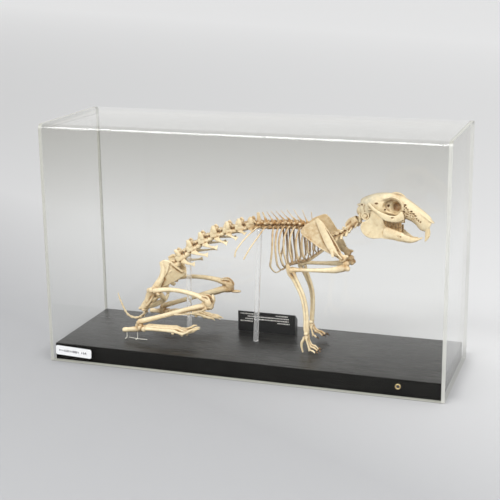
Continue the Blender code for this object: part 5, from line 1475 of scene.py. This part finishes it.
def make_bone_finish(name, far):
    bones = settings()[0]
    graph = Graph(name)
    marks = graph.node("ShaderNodeAttribute", {"attribute_name": "marks"})
    parts = graph.node("ShaderNodeSeparateColor", Color=marks.outputs["Color"])
    stain_and_shade, shade_grey, dark_shade = (parts.outputs[part] for part in ("Red", "Green", "Blue"))
    cloudy = graph.ramp(graph.noise(70.0, 4.0, 0.6), 0.4, 0.62)
    patchy = graph.ramp(graph.noise(230.0, 5.0, 0.65), 0.38, 0.64)
    fibres = graph.noise(700.0, 4.0, 0.7)
    # Far-side bones mix in more cream as painted shade.
    base = graph.times(cloudy, 0.6 if far else 0.3)
    ground = graph.mix(base, bones.pale, bones.cream)
    ground = graph.mix(graph.times(patchy, 0.4), ground, bones.cream)
    # Real stains and painted shade both mix towards the warm colour here.
    stain_and_shade_amount = graph.times(stain_and_shade, graph.ramp(patchy, 0.0, 1.0, 0.5, 1.2))
    ground = graph.mix(graph.times(stain_and_shade_amount, 0.95), ground, bones.warm)
    # Painted grey shade on the skull.
    ground = graph.mix(graph.times(shade_grey, graph.ramp(patchy, 0.0, 1.0, 0.5, 1.0)), ground, bones.shade_grey)
    # Painted dark shade.
    ground = graph.mix(dark_shade, ground, bones.dark_shade)
    specks = graph.ramp(fibres, 0.58, 0.7)
    ground = graph.mix(graph.times(specks, 0.5), ground, bones.warm)
    edge = graph.node("ShaderNodeLayerWeight", Blend=0.5).outputs["Facing"]
    ground = graph.mix(graph.ramp(edge, 0.35, 0.95, 0.0, 0.75), ground, bones.shaded)
    graph.set(Base_Color=ground, Roughness=graph.ramp(patchy, 0.0, 1.0, 0.36, 0.54), Specular_IOR_Level=0.4)
    pores = graph.plus(fibres, graph.times(patchy, 0.7))
    graph.bump(pores, 0.5, 0.0003)
    return graph.finish


def make_tooth_finish(name):
    bones = settings()[0]
    graph = Graph(name)
    streaks = graph.ramp(graph.streaks((1500.0, 1500.0, 260.0), 3.0, 0.6), 0.4, 0.7)
    graph.set(Base_Color=graph.mix(streaks, bones.ivory, bones.cream), Roughness=0.3)
    graph.bump(streaks, 0.2, 0.0001)
    return graph.finish


def make_cheek_tooth_finish(name):
    bones = settings()[0]
    graph = Graph(name)
    streaks = graph.ramp(graph.streaks((1300.0, 1300.0, 350.0), 4.0, 0.7), 0.36, 0.62)
    graph.set(Base_Color=graph.mix(streaks, bones.cream, bones.warm), Roughness=0.4)
    graph.bump(streaks, 0.3, 0.00015)
    return graph.finish


def make_claw_finish(name):
    bones = settings()[0]
    graph = Graph(name)
    cloudy = graph.ramp(graph.noise(500.0, 3.0, 0.6), 0.52, 0.7)
    graph.set(Base_Color=graph.mix(cloudy, bones.claw, bones.warm), Roughness=0.25)
    graph.bump(cloudy, 0.2, 0.0001)
    return graph.finish


def make_rod_finish(name):
    """Clear acrylic with a milky white core, lit by the lamps, that paints the bright light which the clear
    rod refracts down its middle.
    """
    case = settings()[1]
    graph = Graph(name)
    graph.set(Base_Color=case.tint, Roughness=0.02, IOR=1.49, Transmission_Weight=1.0)
    veins = graph.ramp(graph.streaks((700.0, 700.0, 30.0), 3.0, 0.6), 0.3, 0.7, 0.14, 0.28)
    milky = graph.node("ShaderNodeBsdfTranslucent", Color=(0.95, 0.95, 0.95))
    pale = graph.node("ShaderNodeBsdfDiffuse", Color=(0.95, 0.95, 0.95))
    # Painted light: the milky core stands in for light refracted by the rod.
    refracted_light_core = graph.mix_shaders(0.6, milky.outputs[0], pale.outputs[0])
    cloudy = graph.mix_shaders(veins, graph.shader.outputs[0], refracted_light_core)
    clear = graph.node("ShaderNodeBsdfTransparent", Color=(0.9, 0.9, 0.9))
    graph.mix_shaders(graph.lamp_rays(), cloudy, clear.outputs[0])
    return graph.finish


def make_sheet_finish(name, gloss, paints_top_reflection=True):
    """A clear sheet that shines as its index of refraction says; if it paints the top reflection, the view
    through it dims towards its top as a painted dark reflection.
    """
    case = settings()[1]
    graph = Graph(name)
    height = graph.parts(graph.where())["Z"]
    # Painted dark reflection: the view through the sheet dims towards its top.
    tone = graph.mix(graph.ramp(height, 0.15, 0.275), case.tint, case.dim_top_reflection if paints_top_reflection else case.top)
    clear = graph.node("ShaderNodeBsdfTransparent", Color=tone)
    shine = graph.node("ShaderNodeBsdfGlossy", Color=(1.0, 1.0, 1.0), Roughness=0.0)
    behind = graph.node("ShaderNodeNewGeometry").outputs["Backfacing"]
    fresnel = graph.node("ShaderNodeFresnel", IOR=graph.ramp(behind, 0.0, 1.0, gloss, 1.0 / gloss))
    seen = graph.mix_shaders(fresnel.outputs[0], clear.outputs[0], shine.outputs[0])
    free = graph.node("ShaderNodeBsdfTransparent", Color=(0.99, 0.99, 0.99))
    graph.mix_shaders(graph.lamp_rays(), seen, free.outputs[0])
    graph.tree.nodes.remove(graph.shader)
    return graph.finish


def make_rim_finish(name, ground):
    """The cut edge of a sheet, whose pale colour also paints the light that the edge gathers."""
    graph = Graph(name)
    streaks = graph.ramp(graph.streaks((900.0, 900.0, 40.0), 3.0, 0.6), 0.35, 0.7)
    dim = tuple(part * 0.82 for part in ground)
    graph.set(Base_Color=graph.mix(streaks, tuple(ground), dim), Roughness=0.25, Specular_IOR_Level=0.5)
    clear = graph.node("ShaderNodeBsdfTransparent", Color=(0.95, 0.96, 0.93))
    graph.mix_shaders(0.2, graph.shader.outputs[0], clear.outputs[0])
    return graph.finish


def make_black_wood_finish(name, shine, wear):
    """Black paint rubbed along the grain, with dust in it."""
    case = settings()[1]
    graph = Graph(name)
    grain = graph.streaks((22.0, 1100.0, 1100.0), 6.0, 0.7, 0.4)
    fine = graph.streaks((90.0, 3600.0, 3600.0), 4.0, 0.6)
    marks = graph.plus(graph.times(grain, 0.6), graph.times(fine, 0.4))
    place = graph.parts(graph.where())
    patches = graph.times(graph.ramp(graph.noise(14.0, 4.0, 0.6), 0.35, 0.65, 0.4 * wear, wear),
                          graph.ramp(place["X"], -0.2, 0.2, 0.35, 1.0))
    rubbed = graph.times(graph.ramp(marks, 0.5, 0.6), patches)
    ground = graph.mix(rubbed, case.paint, case.worn)
    dust = graph.ramp(graph.noise(900.0, 5.0, 0.7), 0.66, 0.8)
    ground = graph.mix(graph.times(dust, 0.25 * wear), ground, (0.3, 0.29, 0.27))
    graph.set(Base_Color=ground, Roughness=graph.ramp(grain, 0.35, 0.7, 0.2, 0.5), Specular_IOR_Level=shine)
    graph.bump(graph.plus(graph.times(grain, 1.4), graph.times(fine, 0.7)), 0.35, 0.0002)
    return graph.finish


def make_plain_finish(name, ground, roughness, metallic=0.0, grain=300.0, depth=0.00003):
    graph = Graph(name)
    cloudy = graph.noise(grain, 4.0, 0.6)
    shade = tuple(part * 0.8 for part in ground)
    rough = graph.ramp(cloudy, 0.3, 0.7, roughness * 0.85, min(roughness * 1.2, 1.0))
    ground = graph.mix(graph.ramp(cloudy, 0.35, 0.7), tuple(ground), shade)
    graph.set(Base_Color=ground, Roughness=rough, Metallic=metallic)
    graph.bump(cloudy, 0.25, depth)
    return graph.finish


# Case pieces


def rounded_gate(half_depth, height, bend, arc_steps=12):
    """The outline of a sheet bent down at both sides, as (y, z), from the back foot to the front."""
    outline = [(half_depth, 0), (half_depth, LIP)]
    for step in range(arc_steps + 1):
        turn = math.pi / 2 * step / arc_steps
        outline.append((half_depth - bend + bend * math.cos(turn), height - bend + bend * math.sin(turn)))
    return outline + [(-y, z) for y, z in reversed(outline)]


def bevelled_box(low, high, edge, segments=3):
    shape = bmesh.new()
    bmesh.ops.create_cube(shape, size=1)
    for vert in shape.verts:
        vert.co = Vector([a + (b - a) * (part + 0.5) for a, b, part in zip(low, high, vert.co)])
    bmesh.ops.bevel(shape, geom=shape.edges, offset=edge, segments=segments, affect="EDGES", profile=0.5)
    return from_bmesh(shape)


def smooth_by_angle(mesh, degrees=40):
    """The mesh, sharp only where its faces turn by more degrees."""
    mesh.shade_smooth()
    mesh.set_sharp_from_angle(angle=math.radians(degrees))
    return mesh


def place_pieces(name, pieces, finish, nodes=(), degrees=40):
    """Place closed pieces as one object, sharp only where its faces turn by more degrees."""
    return place_object(name, smooth_by_angle(mesh_of(pieces), degrees), finish, nodes)


def build_base():
    case = settings()[1]
    block = bevelled_box(BASE_LOW, BASE_HIGH, case.edge, 4)
    finishes = [cached("black_wood_top", make_black_wood_finish, 0.28, 1),
                cached("black_wood_side", make_black_wood_finish, 0.04, 0.15)]
    mesh = mesh_of([block])
    sheet_faces(mesh, lambda centre, normal: 0 if normal.z > 0.8 else 1)
    place_object("wooden_base", smooth_by_angle(mesh), finishes, ["case_base"])


def sheet_faces(mesh, choose):
    """Give each face the finish that its place and its normal ask for."""
    for face in mesh.polygons:
        face.material_index = choose(face.center, face.normal)


# How strongly the cover's faces mirror, as the index of refraction that each would need
SHEET_GLOSS = {"clear": 1.4, "front": 1.16, "bend": 1.62, "joint": 1.01}
TOP_GLOSS = 1.09
# Height of the lowest faces of the bent sheet, which show as its cut edge
LIP = 1.2


def build_cover():
    case = settings()[1]
    finishes = [cached(f"sheet_{part}", make_sheet_finish, gloss)
                for part, gloss in SHEET_GLOSS.items()]
    finishes.append(cached("sheet_top", make_sheet_finish, TOP_GLOSS, False))
    # Lit and shaded copies of the cut-edge finish.
    lit_and_shaded_rims = (("pale", case.rim), ("olive", case.top_rim), ("dim", case.low_rim))
    finishes += [cached(f"rim_{part}", make_rim_finish, ground) for part, ground in lit_and_shaded_rims]
    clear, front, bend, joint, top, pale, olive, dim = range(len(finishes))
    outside = rounded_gate(COVER_HALF_DEPTH, COVER_HEIGHT, case.bend)
    inside = rounded_gate(COVER_HALF_DEPTH - SHEET, COVER_HEIGHT - SHEET, case.bend - SHEET)
    width = WRAP_HIGH.x - WRAP_LOW.x

    def wrap_choice(centre, normal):
        if abs(normal.x) > 0.9:
            return joint
        # The bottom lip takes the shaded lower rim.
        if centre.z < LIP:
            return dim
        if abs(normal.y) < 0.97 and abs(normal.z) < 0.97:
            return bend
        if abs(normal.z) > 0.9:
            return top
        return clear if centre.y > 0 else front

    def panel_choice(centre, normal):
        if abs(normal.x) > 0.9:
            return front
        # Top edges take the shaded top rim; the right panel's edges the lit pale rim, the left panel's the
        # shaded lower rim.
        if normal.z > 0.6:
            return olive
        return pale if centre.x > 0 else dim

    wrap = mesh_of([slab(outside + inside[::-1], (0, 0, 0), ALONG_Y, ALONG_Z, width)])
    sheet_faces(wrap, wrap_choice)
    place_object("bent_cover_sheet", smooth_by_angle(wrap, 20), finishes, ["cover_wrap"])
    for end, node in (("left", "cover_end_left"), ("right", "cover_end_right")):
        low, high = box_mm(node)
        panel = mesh_of([slab(outside, ((low.x + high.x) / 2, 0, 0), ALONG_Y, ALONG_Z, SHEET)])
        sheet_faces(panel, panel_choice)
        place_object(f"end_sheet_{end}", smooth_by_angle(panel, 20), finishes, [node])


SHANK_RADIUS = 1.7
SHANK_LENGTH = 12.5
# The washer is a hoop, so this is also the radius of its round section
WASHER_HALF = 0.7


def build_screws():
    case = settings()[1]
    # The recess finish paints shade in the middle of each washer.
    finishes = [cached("brass_finish", make_plain_finish, case.metal, 0.3, 1),
                cached("recess_finish", make_plain_finish, case.ink, 0.4)]
    for node in ("cover_screw_front", "cover_screw_back_right", "cover_screw_back_left"):
        low, high = box_mm(node)
        front = node.endswith("front")
        face = low.y if front else high.y
        inward = 1 if front else -1
        x, z = (low.x + high.x) / 2, (low.z + high.z) / 2
        radius = (high.x - low.x) / 2
        shank = cylinder((x, face + inward * 0.6, z), (x, face + inward * SHANK_LENGTH, z), SHANK_RADIUS, 16)
        washer = hoop((x, face + inward * (WASHER_HALF + 0.02), z), radius - WASHER_HALF, WASHER_HALF)
        mesh = mesh_of([shank, washer])
        # Faces within this radius take the painted shade of the recess.
        recess = SHANK_RADIUS + 0.05
        sheet_faces(mesh, lambda centre, normal: 1 if math.hypot(centre.x - x, centre.z - z) < recess else 0)
        place_object(node.replace("cover_", "") + "_brass", smooth_by_angle(mesh), finishes, [node])


ROD_RADIUS = 3


def build_rods():
    finish = cached("rod_finish", make_rod_finish)
    for name, foot, top in (("front", (-3.6, 3.4, BASE_HEIGHT + 0.3), (1.9, 5, 153)),
                            ("hind", (-87.4, 6.5, BASE_HEIGHT + 0.3), (-85.4, 5, 117.5))):
        rod = cylinder(foot, top, ROD_RADIUS, 48)
        place_pieces(f"clear_rod_{name}", [rod], finish, [f"stand_rod_{name}"])


WIRE_RADIUS = 0.5
CROSS_WIRE_RADIUS = 0.4
CROSS_WIRE = ((-150, -28.6, 21.2), (-138, -30.6, 21), (-126.6, -30, 20.8))


def build_wires():
    case = settings()[1]
    finish = cached("wire_finish", make_plain_finish, case.wire, 0.35, 0.3)
    for end in ("back", "front"):
        node = f"stand_heel_wire_{end}"
        low, high = box_mm(node)
        x = (low.x + high.x) / 2
        level = low.z + WIRE_RADIUS
        bend = ((low.y, level), (high.y - 2.4, level), (high.y - 1, level + 1), (high.y - 0.7, high.z))
        wire = tube([(x, y, z, WIRE_RADIUS, WIRE_RADIUS) for y, z in bend], ALONG_X, 10)
        place_pieces(f"heel_wire_{end}", [wire], finish, [node], 60)
    cross = tube([(*place, CROSS_WIRE_RADIUS, CROSS_WIRE_RADIUS) for place in CROSS_WIRE], ALONG_Y, 8)
    place_pieces("heel_wire_across", [cross], finish, degrees=60)


# The label's block as (y, z), from its upright front to its sloping back
LABEL_PROFILE = ((35, 0), (35, 24.2), (36.5, 24.2), (45.5, 16.5), (45.5, 0))
LABEL_FACE = LABEL_PROFILE[0][0]
# Rows of strokes on the label, as the height of each and where its stretches start and end
LABEL_ROWS = (
    (21.6, (-33, -18), (11, 26)), (18.6, (-24, -17), (-10, 26)), (15.6, (-27, -17), (-10, 26)),
    (12.6, (-33, -18), (13, 27)),
)


def build_label():
    case = settings()[1]
    finish = cached("plate_finish", make_plain_finish, case.plate, 0.32, 0, 800)
    middle = ((LABEL_LOW.x + LABEL_HIGH.x) / 2, 0, LABEL_LOW.z)
    block = slab(LABEL_PROFILE, middle, ALONG_Y, ALONG_Z, LABEL_HIGH.x - LABEL_LOW.x)
    place_pieces("label_plate", [block], finish, ["label_block"])
    marks = []
    draw = np.random.default_rng(3)
    for height, *stretches in LABEL_ROWS:
        for start, end in stretches:
            x = start
            while x < end:
                long = draw.uniform(0.8, 1.7)
                tall = draw.uniform(0.9, 1.5)
                low = (x, LABEL_FACE - 0.15, LABEL_LOW.z + height - tall / 2)
                marks.append(bevelled_box(low, (x + long, LABEL_FACE + 0.05, low[2] + tall), 0.04, 1))
                x += long + draw.uniform(0.35, 0.7)
    ink = cached("print_finish", make_plain_finish, case.print_colour, 0.6)
    place_pieces("label_strokes", marks, ink)


STICKER_TILT = math.radians(2.2)
STICKER_HALF_LENGTH = 22.5
STICKER_HALF_WIDTH = 5.5
STICKER_CORNER = 2.2
# Where the strokes start and end along the sticker, and where a gap in them starts and ends
STROKES_START, STROKES_END = -18, 17
GAP_START, GAP_END = 7, 10.5


def build_sticker():
    case = settings()[1]
    along = Vector((math.cos(STICKER_TILT), 0, -math.sin(STICKER_TILT)))
    up = Vector((math.sin(STICKER_TILT), 0, math.cos(STICKER_TILT)))
    outline = []
    for cx, cz, first in ((1, 1, 0), (-1, 1, 90), (-1, -1, 180), (1, -1, 270)):
        for step in range(6):
            turn = math.radians(first + 18 * step)
            outline.append((cx * (STICKER_HALF_LENGTH - STICKER_CORNER) + STICKER_CORNER * math.cos(turn),
                            cz * (STICKER_HALF_WIDTH - STICKER_CORNER) + STICKER_CORNER * math.sin(turn)))
    middle = (STICKER_LOW + STICKER_HIGH) / 2
    paper = slab(outline, middle, along, up, STICKER_HIGH.y - STICKER_LOW.y)
    finish = cached("paper_finish", make_plain_finish, case.paper, 0.65, 0, 900)
    place_pieces("sticker", [paper], finish, ["front_sticker"])
    strokes = []
    draw = np.random.default_rng(11)
    face = STICKER_LOW.y - 0.02
    u = STROKES_START
    while u < STROKES_END:
        if GAP_START < u < GAP_START + 1.5:
            u = GAP_END
        tall = draw.uniform(1.6, 3)
        start = middle + along * u - up * tall / 2
        end = middle + along * (u + draw.uniform(-0.5, 0.9)) + up * tall / 2
        stroke = ((start.x, face, start.z, 0.45, 0.12), (end.x, face, end.z, 0.45, 0.12))
        strokes.append(tube(stroke, ALONG_X, 6, 1, 0.5))
        u += draw.uniform(1.3, 2.4)
    ink = cached("ink_finish", make_plain_finish, case.ink, 0.6)
    place_pieces("sticker_strokes", strokes, ink)


# Stage

CAMERA_PLACE = (0.41238, -1.24002, 0.47814)
CAMERA_RIGHT = Vector((0.94791829, 0.31830058, -0.01164711))
CAMERA_AHEAD = Vector((-0.31048572, 0.91525071, -0.25673869))


def make_floor_finish(name):
    """Pale paper, lighter away from the case: the darker floor in front and near the case is painted shade.
    """
    stage = settings()[2]
    graph = Graph(name)
    place = graph.parts(graph.where())
    depth = graph.plus(place["Y"], graph.times(place["X"], 0.6))
    # Painted shade: darker towards the viewer and near the case.
    ground = graph.mix(graph.ramp(depth, -0.15, 0.3), stage.floor, stage.middle_floor)
    ground = graph.mix(graph.ramp(depth, 0.3, 4.0), ground, stage.far_floor)
    graph.set(Base_Color=ground, Roughness=0.8, Specular_IOR_Level=0.1)
    return graph.finish


def make_world(name):
    """Soft light, bright behind the case and dim on the viewer's side."""
    stage = settings()[2]
    world = bpy.data.worlds.new(name)
    world.use_nodes = True
    tree = world.node_tree
    where = tree.nodes.new("ShaderNodeTexCoord")
    parts = tree.nodes.new("ShaderNodeSeparateXYZ")
    tree.links.new(where.outputs["Generated"], parts.inputs[0])
    change = tree.nodes.new("ShaderNodeMapRange")
    change.interpolation_type = "SMOOTHSTEP"
    for key, number in zip(RANGE_SOCKETS, (-0.4, 0.6, stage.shade, stage.sky)):
        change.inputs[key].default_value = number
    tree.links.new(parts.outputs["Y"], change.inputs["Value"])
    tree.nodes["Background"].inputs["Color"].default_value = (1.0, 1.0, 1.0, 1.0)
    tree.links.new(change.outputs["Result"], tree.nodes["Background"].inputs["Strength"])
    return world


def build_stage():
    stage = settings()[2]
    scene = bpy.context.scene
    scene.view_settings.view_transform = "Standard"
    scene.world = make_world("pale_room")
    shape = bmesh.new()
    bmesh.ops.create_grid(shape, x_segments=2, y_segments=2, size=60.0)
    mesh = bpy.data.meshes.new("floor")
    shape.to_mesh(mesh)
    shape.free()
    mesh.materials.append(cached("floor_finish", make_floor_finish))
    floor = bpy.data.objects.new("floor", mesh)
    floor.location.z = -0.0005
    scene.collection.objects.link(floor)
    add_lamp("key", (-0.55, -1.5, 1.5), (0.0, 0.0, 0.1), (1.3, 0.5), stage.key)
    add_lamp("side", (1.5, -0.7, 1.1), (0.0, 0.0, 0.12), (0.5, 0.5), stage.side)

    camera = bpy.data.cameras.new("camera")
    camera.lens = stage.lens
    camera.sensor_width = 36.0
    eye = bpy.data.objects.new("camera", camera)
    up = CAMERA_RIGHT.cross(CAMERA_AHEAD)
    turn = Matrix((CAMERA_RIGHT, up, -CAMERA_AHEAD)).transposed().to_4x4()
    eye.matrix_world = Matrix.Translation(CAMERA_PLACE) @ turn
    scene.collection.objects.link(eye)
    scene.camera = eye


def add_lamp(name, place, target, size, power):
    lamp = bpy.data.lights.new(name, "AREA")
    lamp.shape = "RECTANGLE"
    lamp.size, lamp.size_y = size
    lamp.energy = power
    item = bpy.data.objects.new(name, lamp)
    item.location = place
    item.rotation_euler = (Vector(target) - Vector(place)).to_track_quat("-Z", "Y").to_euler()
    bpy.context.scene.collection.objects.link(item)


# Operators

# Bones of the limbs, each as its name, its node, its pieces and its share of the usual face length
FORE_BONES = (
    ("shoulder_blade", "scapula", scapula_pieces, 0.85), ("upper_arm", "humerus", humerus_pieces, 1.0),
    ("radius_bone", "radius", radius_pieces, 0.85), ("ulna_bone", "ulna", ulna_pieces, 0.85),
)
HIND_BONES = (
    ("hip_bone", "pelvis", hip_bone_pieces, 1.0), ("thigh_bone", "femur", femur_pieces, 1.0),
    ("shin_bone", "tibia", shin_pieces, 1.0), ("kneecap", "patella", patella_pieces, 0.7),
    ("ankle_bones", "tarsus", ankle_pieces, 0.8),
)


def grow_limb(name, bones, end, end_pieces, end_fine, claw):
    """Grow the bones of one limb, then its hand or foot with the claws."""
    far = name == FAR_SIDE
    for bone, node, make, fine in bones:
        grow_bone(f"{bone}_{name}", make(name), f"{node}_{name}", far=far, fine=fine)
    pieces, claws = end_pieces(name)
    grow_bone(f"{end}_bones_{name}", pieces, f"{end}_{name}", far=far, fine=end_fine)
    place_pieces(f"{end}_claws_{name}", claws, claw, degrees=60)


class Build:
    bl_options = {"REGISTER", "UNDO"}


class RABBIT_OT_stage(Build, bpy.types.Operator):
    """Lay the floor, hang the lights and set the camera"""
    bl_idname = "rabbit.stage"
    bl_label = "Stage"

    def execute(self, context):
        build_stage()
        return {"FINISHED"}


class RABBIT_OT_case(Build, bpy.types.Operator):
    """Make the black base, the clear cover, its screws, the label and the sticker"""
    bl_idname = "rabbit.case"
    bl_label = "Display case"

    def execute(self, context):
        build_base()
        build_cover()
        build_screws()
        build_label()
        build_sticker()
        return {"FINISHED"}


class RABBIT_OT_stand(Build, bpy.types.Operator):
    """Make the clear rods and the wires that hold the skeleton"""
    bl_idname = "rabbit.stand"
    bl_label = "Rods and wires"

    def execute(self, context):
        build_rods()
        build_wires()
        return {"FINISHED"}


class RABBIT_OT_skull(Build, bpy.types.Operator):
    """Make the skull, the jaw and their teeth"""
    bl_idname = "rabbit.skull"
    bl_label = "Skull and jaw"

    def execute(self, context):
        grow_bone("skull_bone", skull_pieces(), "skull", skull_cutters(), fine=0.9, crowd=0.3)
        grow_bone("jaw_bone", jaw_pieces(), "mandible", jaw_cutters())
        brown = cached("cheek_tooth_finish", make_cheek_tooth_finish)
        ivory = cached("tooth_finish", make_tooth_finish)
        upper = cheek_teeth((10.6, 9.6), 148.2, 6, (172.0, 169.9), (178.0, 176.5))
        lower = cheek_teeth((8.4, 6.0), 150.8, 5, (170.6, 168.9), (166.0, 160.0))
        place_pieces("cheek_teeth_upper", upper, brown)
        place_pieces("cheek_teeth_lower", lower, brown)
        place_pieces("incisors_upper", incisors(UPPER_INCISOR), ivory, degrees=60)
        place_pieces("incisors_lower", incisors(LOWER_INCISOR), ivory, degrees=60)
        return {"FINISHED"}


class RABBIT_OT_spine(Build, bpy.types.Operator):
    """Make the vertebrae from the first of the neck to the last of the tail"""
    bl_idname = "rabbit.spine"
    bl_label = "Spine"

    def execute(self, context):
        neck_frames = frames_of(spine_joints()[THORACIC_END:])
        neck = [piece for frame in neck_frames for piece in cervical_pieces(frame)]
        grow_bone("neck_bones", neck, "neck_vertebrae", fine=0.85)
        grow_bone("axis_bone", axis_pieces(), "axis", fine=0.85)
        ring, canal = atlas_pieces()
        grow_bone("atlas_bone", ring, "atlas", canal, fine=0.85)
        grow_bone("chest_bones", chest_pieces(), "thoracic_spine", fine=0.8)
        grow_loin()
        grow_bone("sacral_bone", sacral_pieces(), "sacrum")
        grow_bone("tail_bones", tail_pieces(), "tail", fine=0.8)
        return {"FINISHED"}


class RABBIT_OT_ribs(Build, bpy.types.Operator):
    """Make both sides of the rib cage with the breastbone"""
    bl_idname = "rabbit.ribs"
    bl_label = "Rib cage"

    def execute(self, context):
        for name in SIDES:
            grow_bone(f"ribs_{name}", rib_cage_pieces(name), f"rib_cage_{name}", far=name == FAR_SIDE,
                      fine=0.75, shade_rule=rib_shade)
        return {"FINISHED"}


class RABBIT_OT_fore_limbs(Build, bpy.types.Operator):
    """Make the shoulder blades, the fore limbs and the hands"""
    bl_idname = "rabbit.fore_limbs"
    bl_label = "Fore limbs"

    def execute(self, context):
        claw = cached("claw_finish", make_claw_finish)
        for name in SIDES:
            grow_limb(name, FORE_BONES, "hand", hand_pieces, 0.7, claw)
        return {"FINISHED"}


class RABBIT_OT_hind_limbs(Build, bpy.types.Operator):
    """Make the hip bones, the hind limbs and the feet"""
    bl_idname = "rabbit.hind_limbs"
    bl_label = "Hips and hind limbs"

    def execute(self, context):
        ivory = cached("tooth_finish", make_tooth_finish)
        for name in SIDES:
            grow_limb(name, HIND_BONES, "foot", foot_pieces, 0.75, ivory)
        return {"FINISHED"}


class RABBIT_PT_panel(bpy.types.Panel):
    """The tools that build the skeleton and its case"""
    bl_label = "Cased rabbit skeleton"
    bl_idname = "RABBIT_PT_panel"
    bl_space_type = "VIEW_3D"
    bl_region_type = "UI"
    bl_category = "Rabbit"

    def draw(self, context):
        for tool in TOOLS:
            self.layout.operator(tool.bl_idname)
        for group in settings():
            for key in group.__annotations__:
                self.layout.prop(group, key)


GROUPS = {"rabbit_bones": BoneSettings, "rabbit_case": CaseSettings, "rabbit_stage": StageSettings}
TOOLS = (
    RABBIT_OT_stage, RABBIT_OT_case, RABBIT_OT_stand, RABBIT_OT_skull, RABBIT_OT_spine, RABBIT_OT_ribs,
    RABBIT_OT_fore_limbs, RABBIT_OT_hind_limbs,
)


def register():
    for item in (*GROUPS.values(), *TOOLS, RABBIT_PT_panel):
        bpy.utils.register_class(item)
    for key, group in GROUPS.items():
        setattr(bpy.types.Scene, key, PointerProperty(type=group))


def unregister():
    for key in GROUPS:
        delattr(bpy.types.Scene, key)
    for item in (RABBIT_PT_panel, *reversed(TOOLS), *GROUPS.values()):
        bpy.utils.unregister_class(item)


def main():
    register()
    for tool in TOOLS:
        family, name = tool.bl_idname.split(".")
        getattr(getattr(bpy.ops, family), name)()
    bpy.context.view_layer.update()


if __name__ == "__main__":
    main()
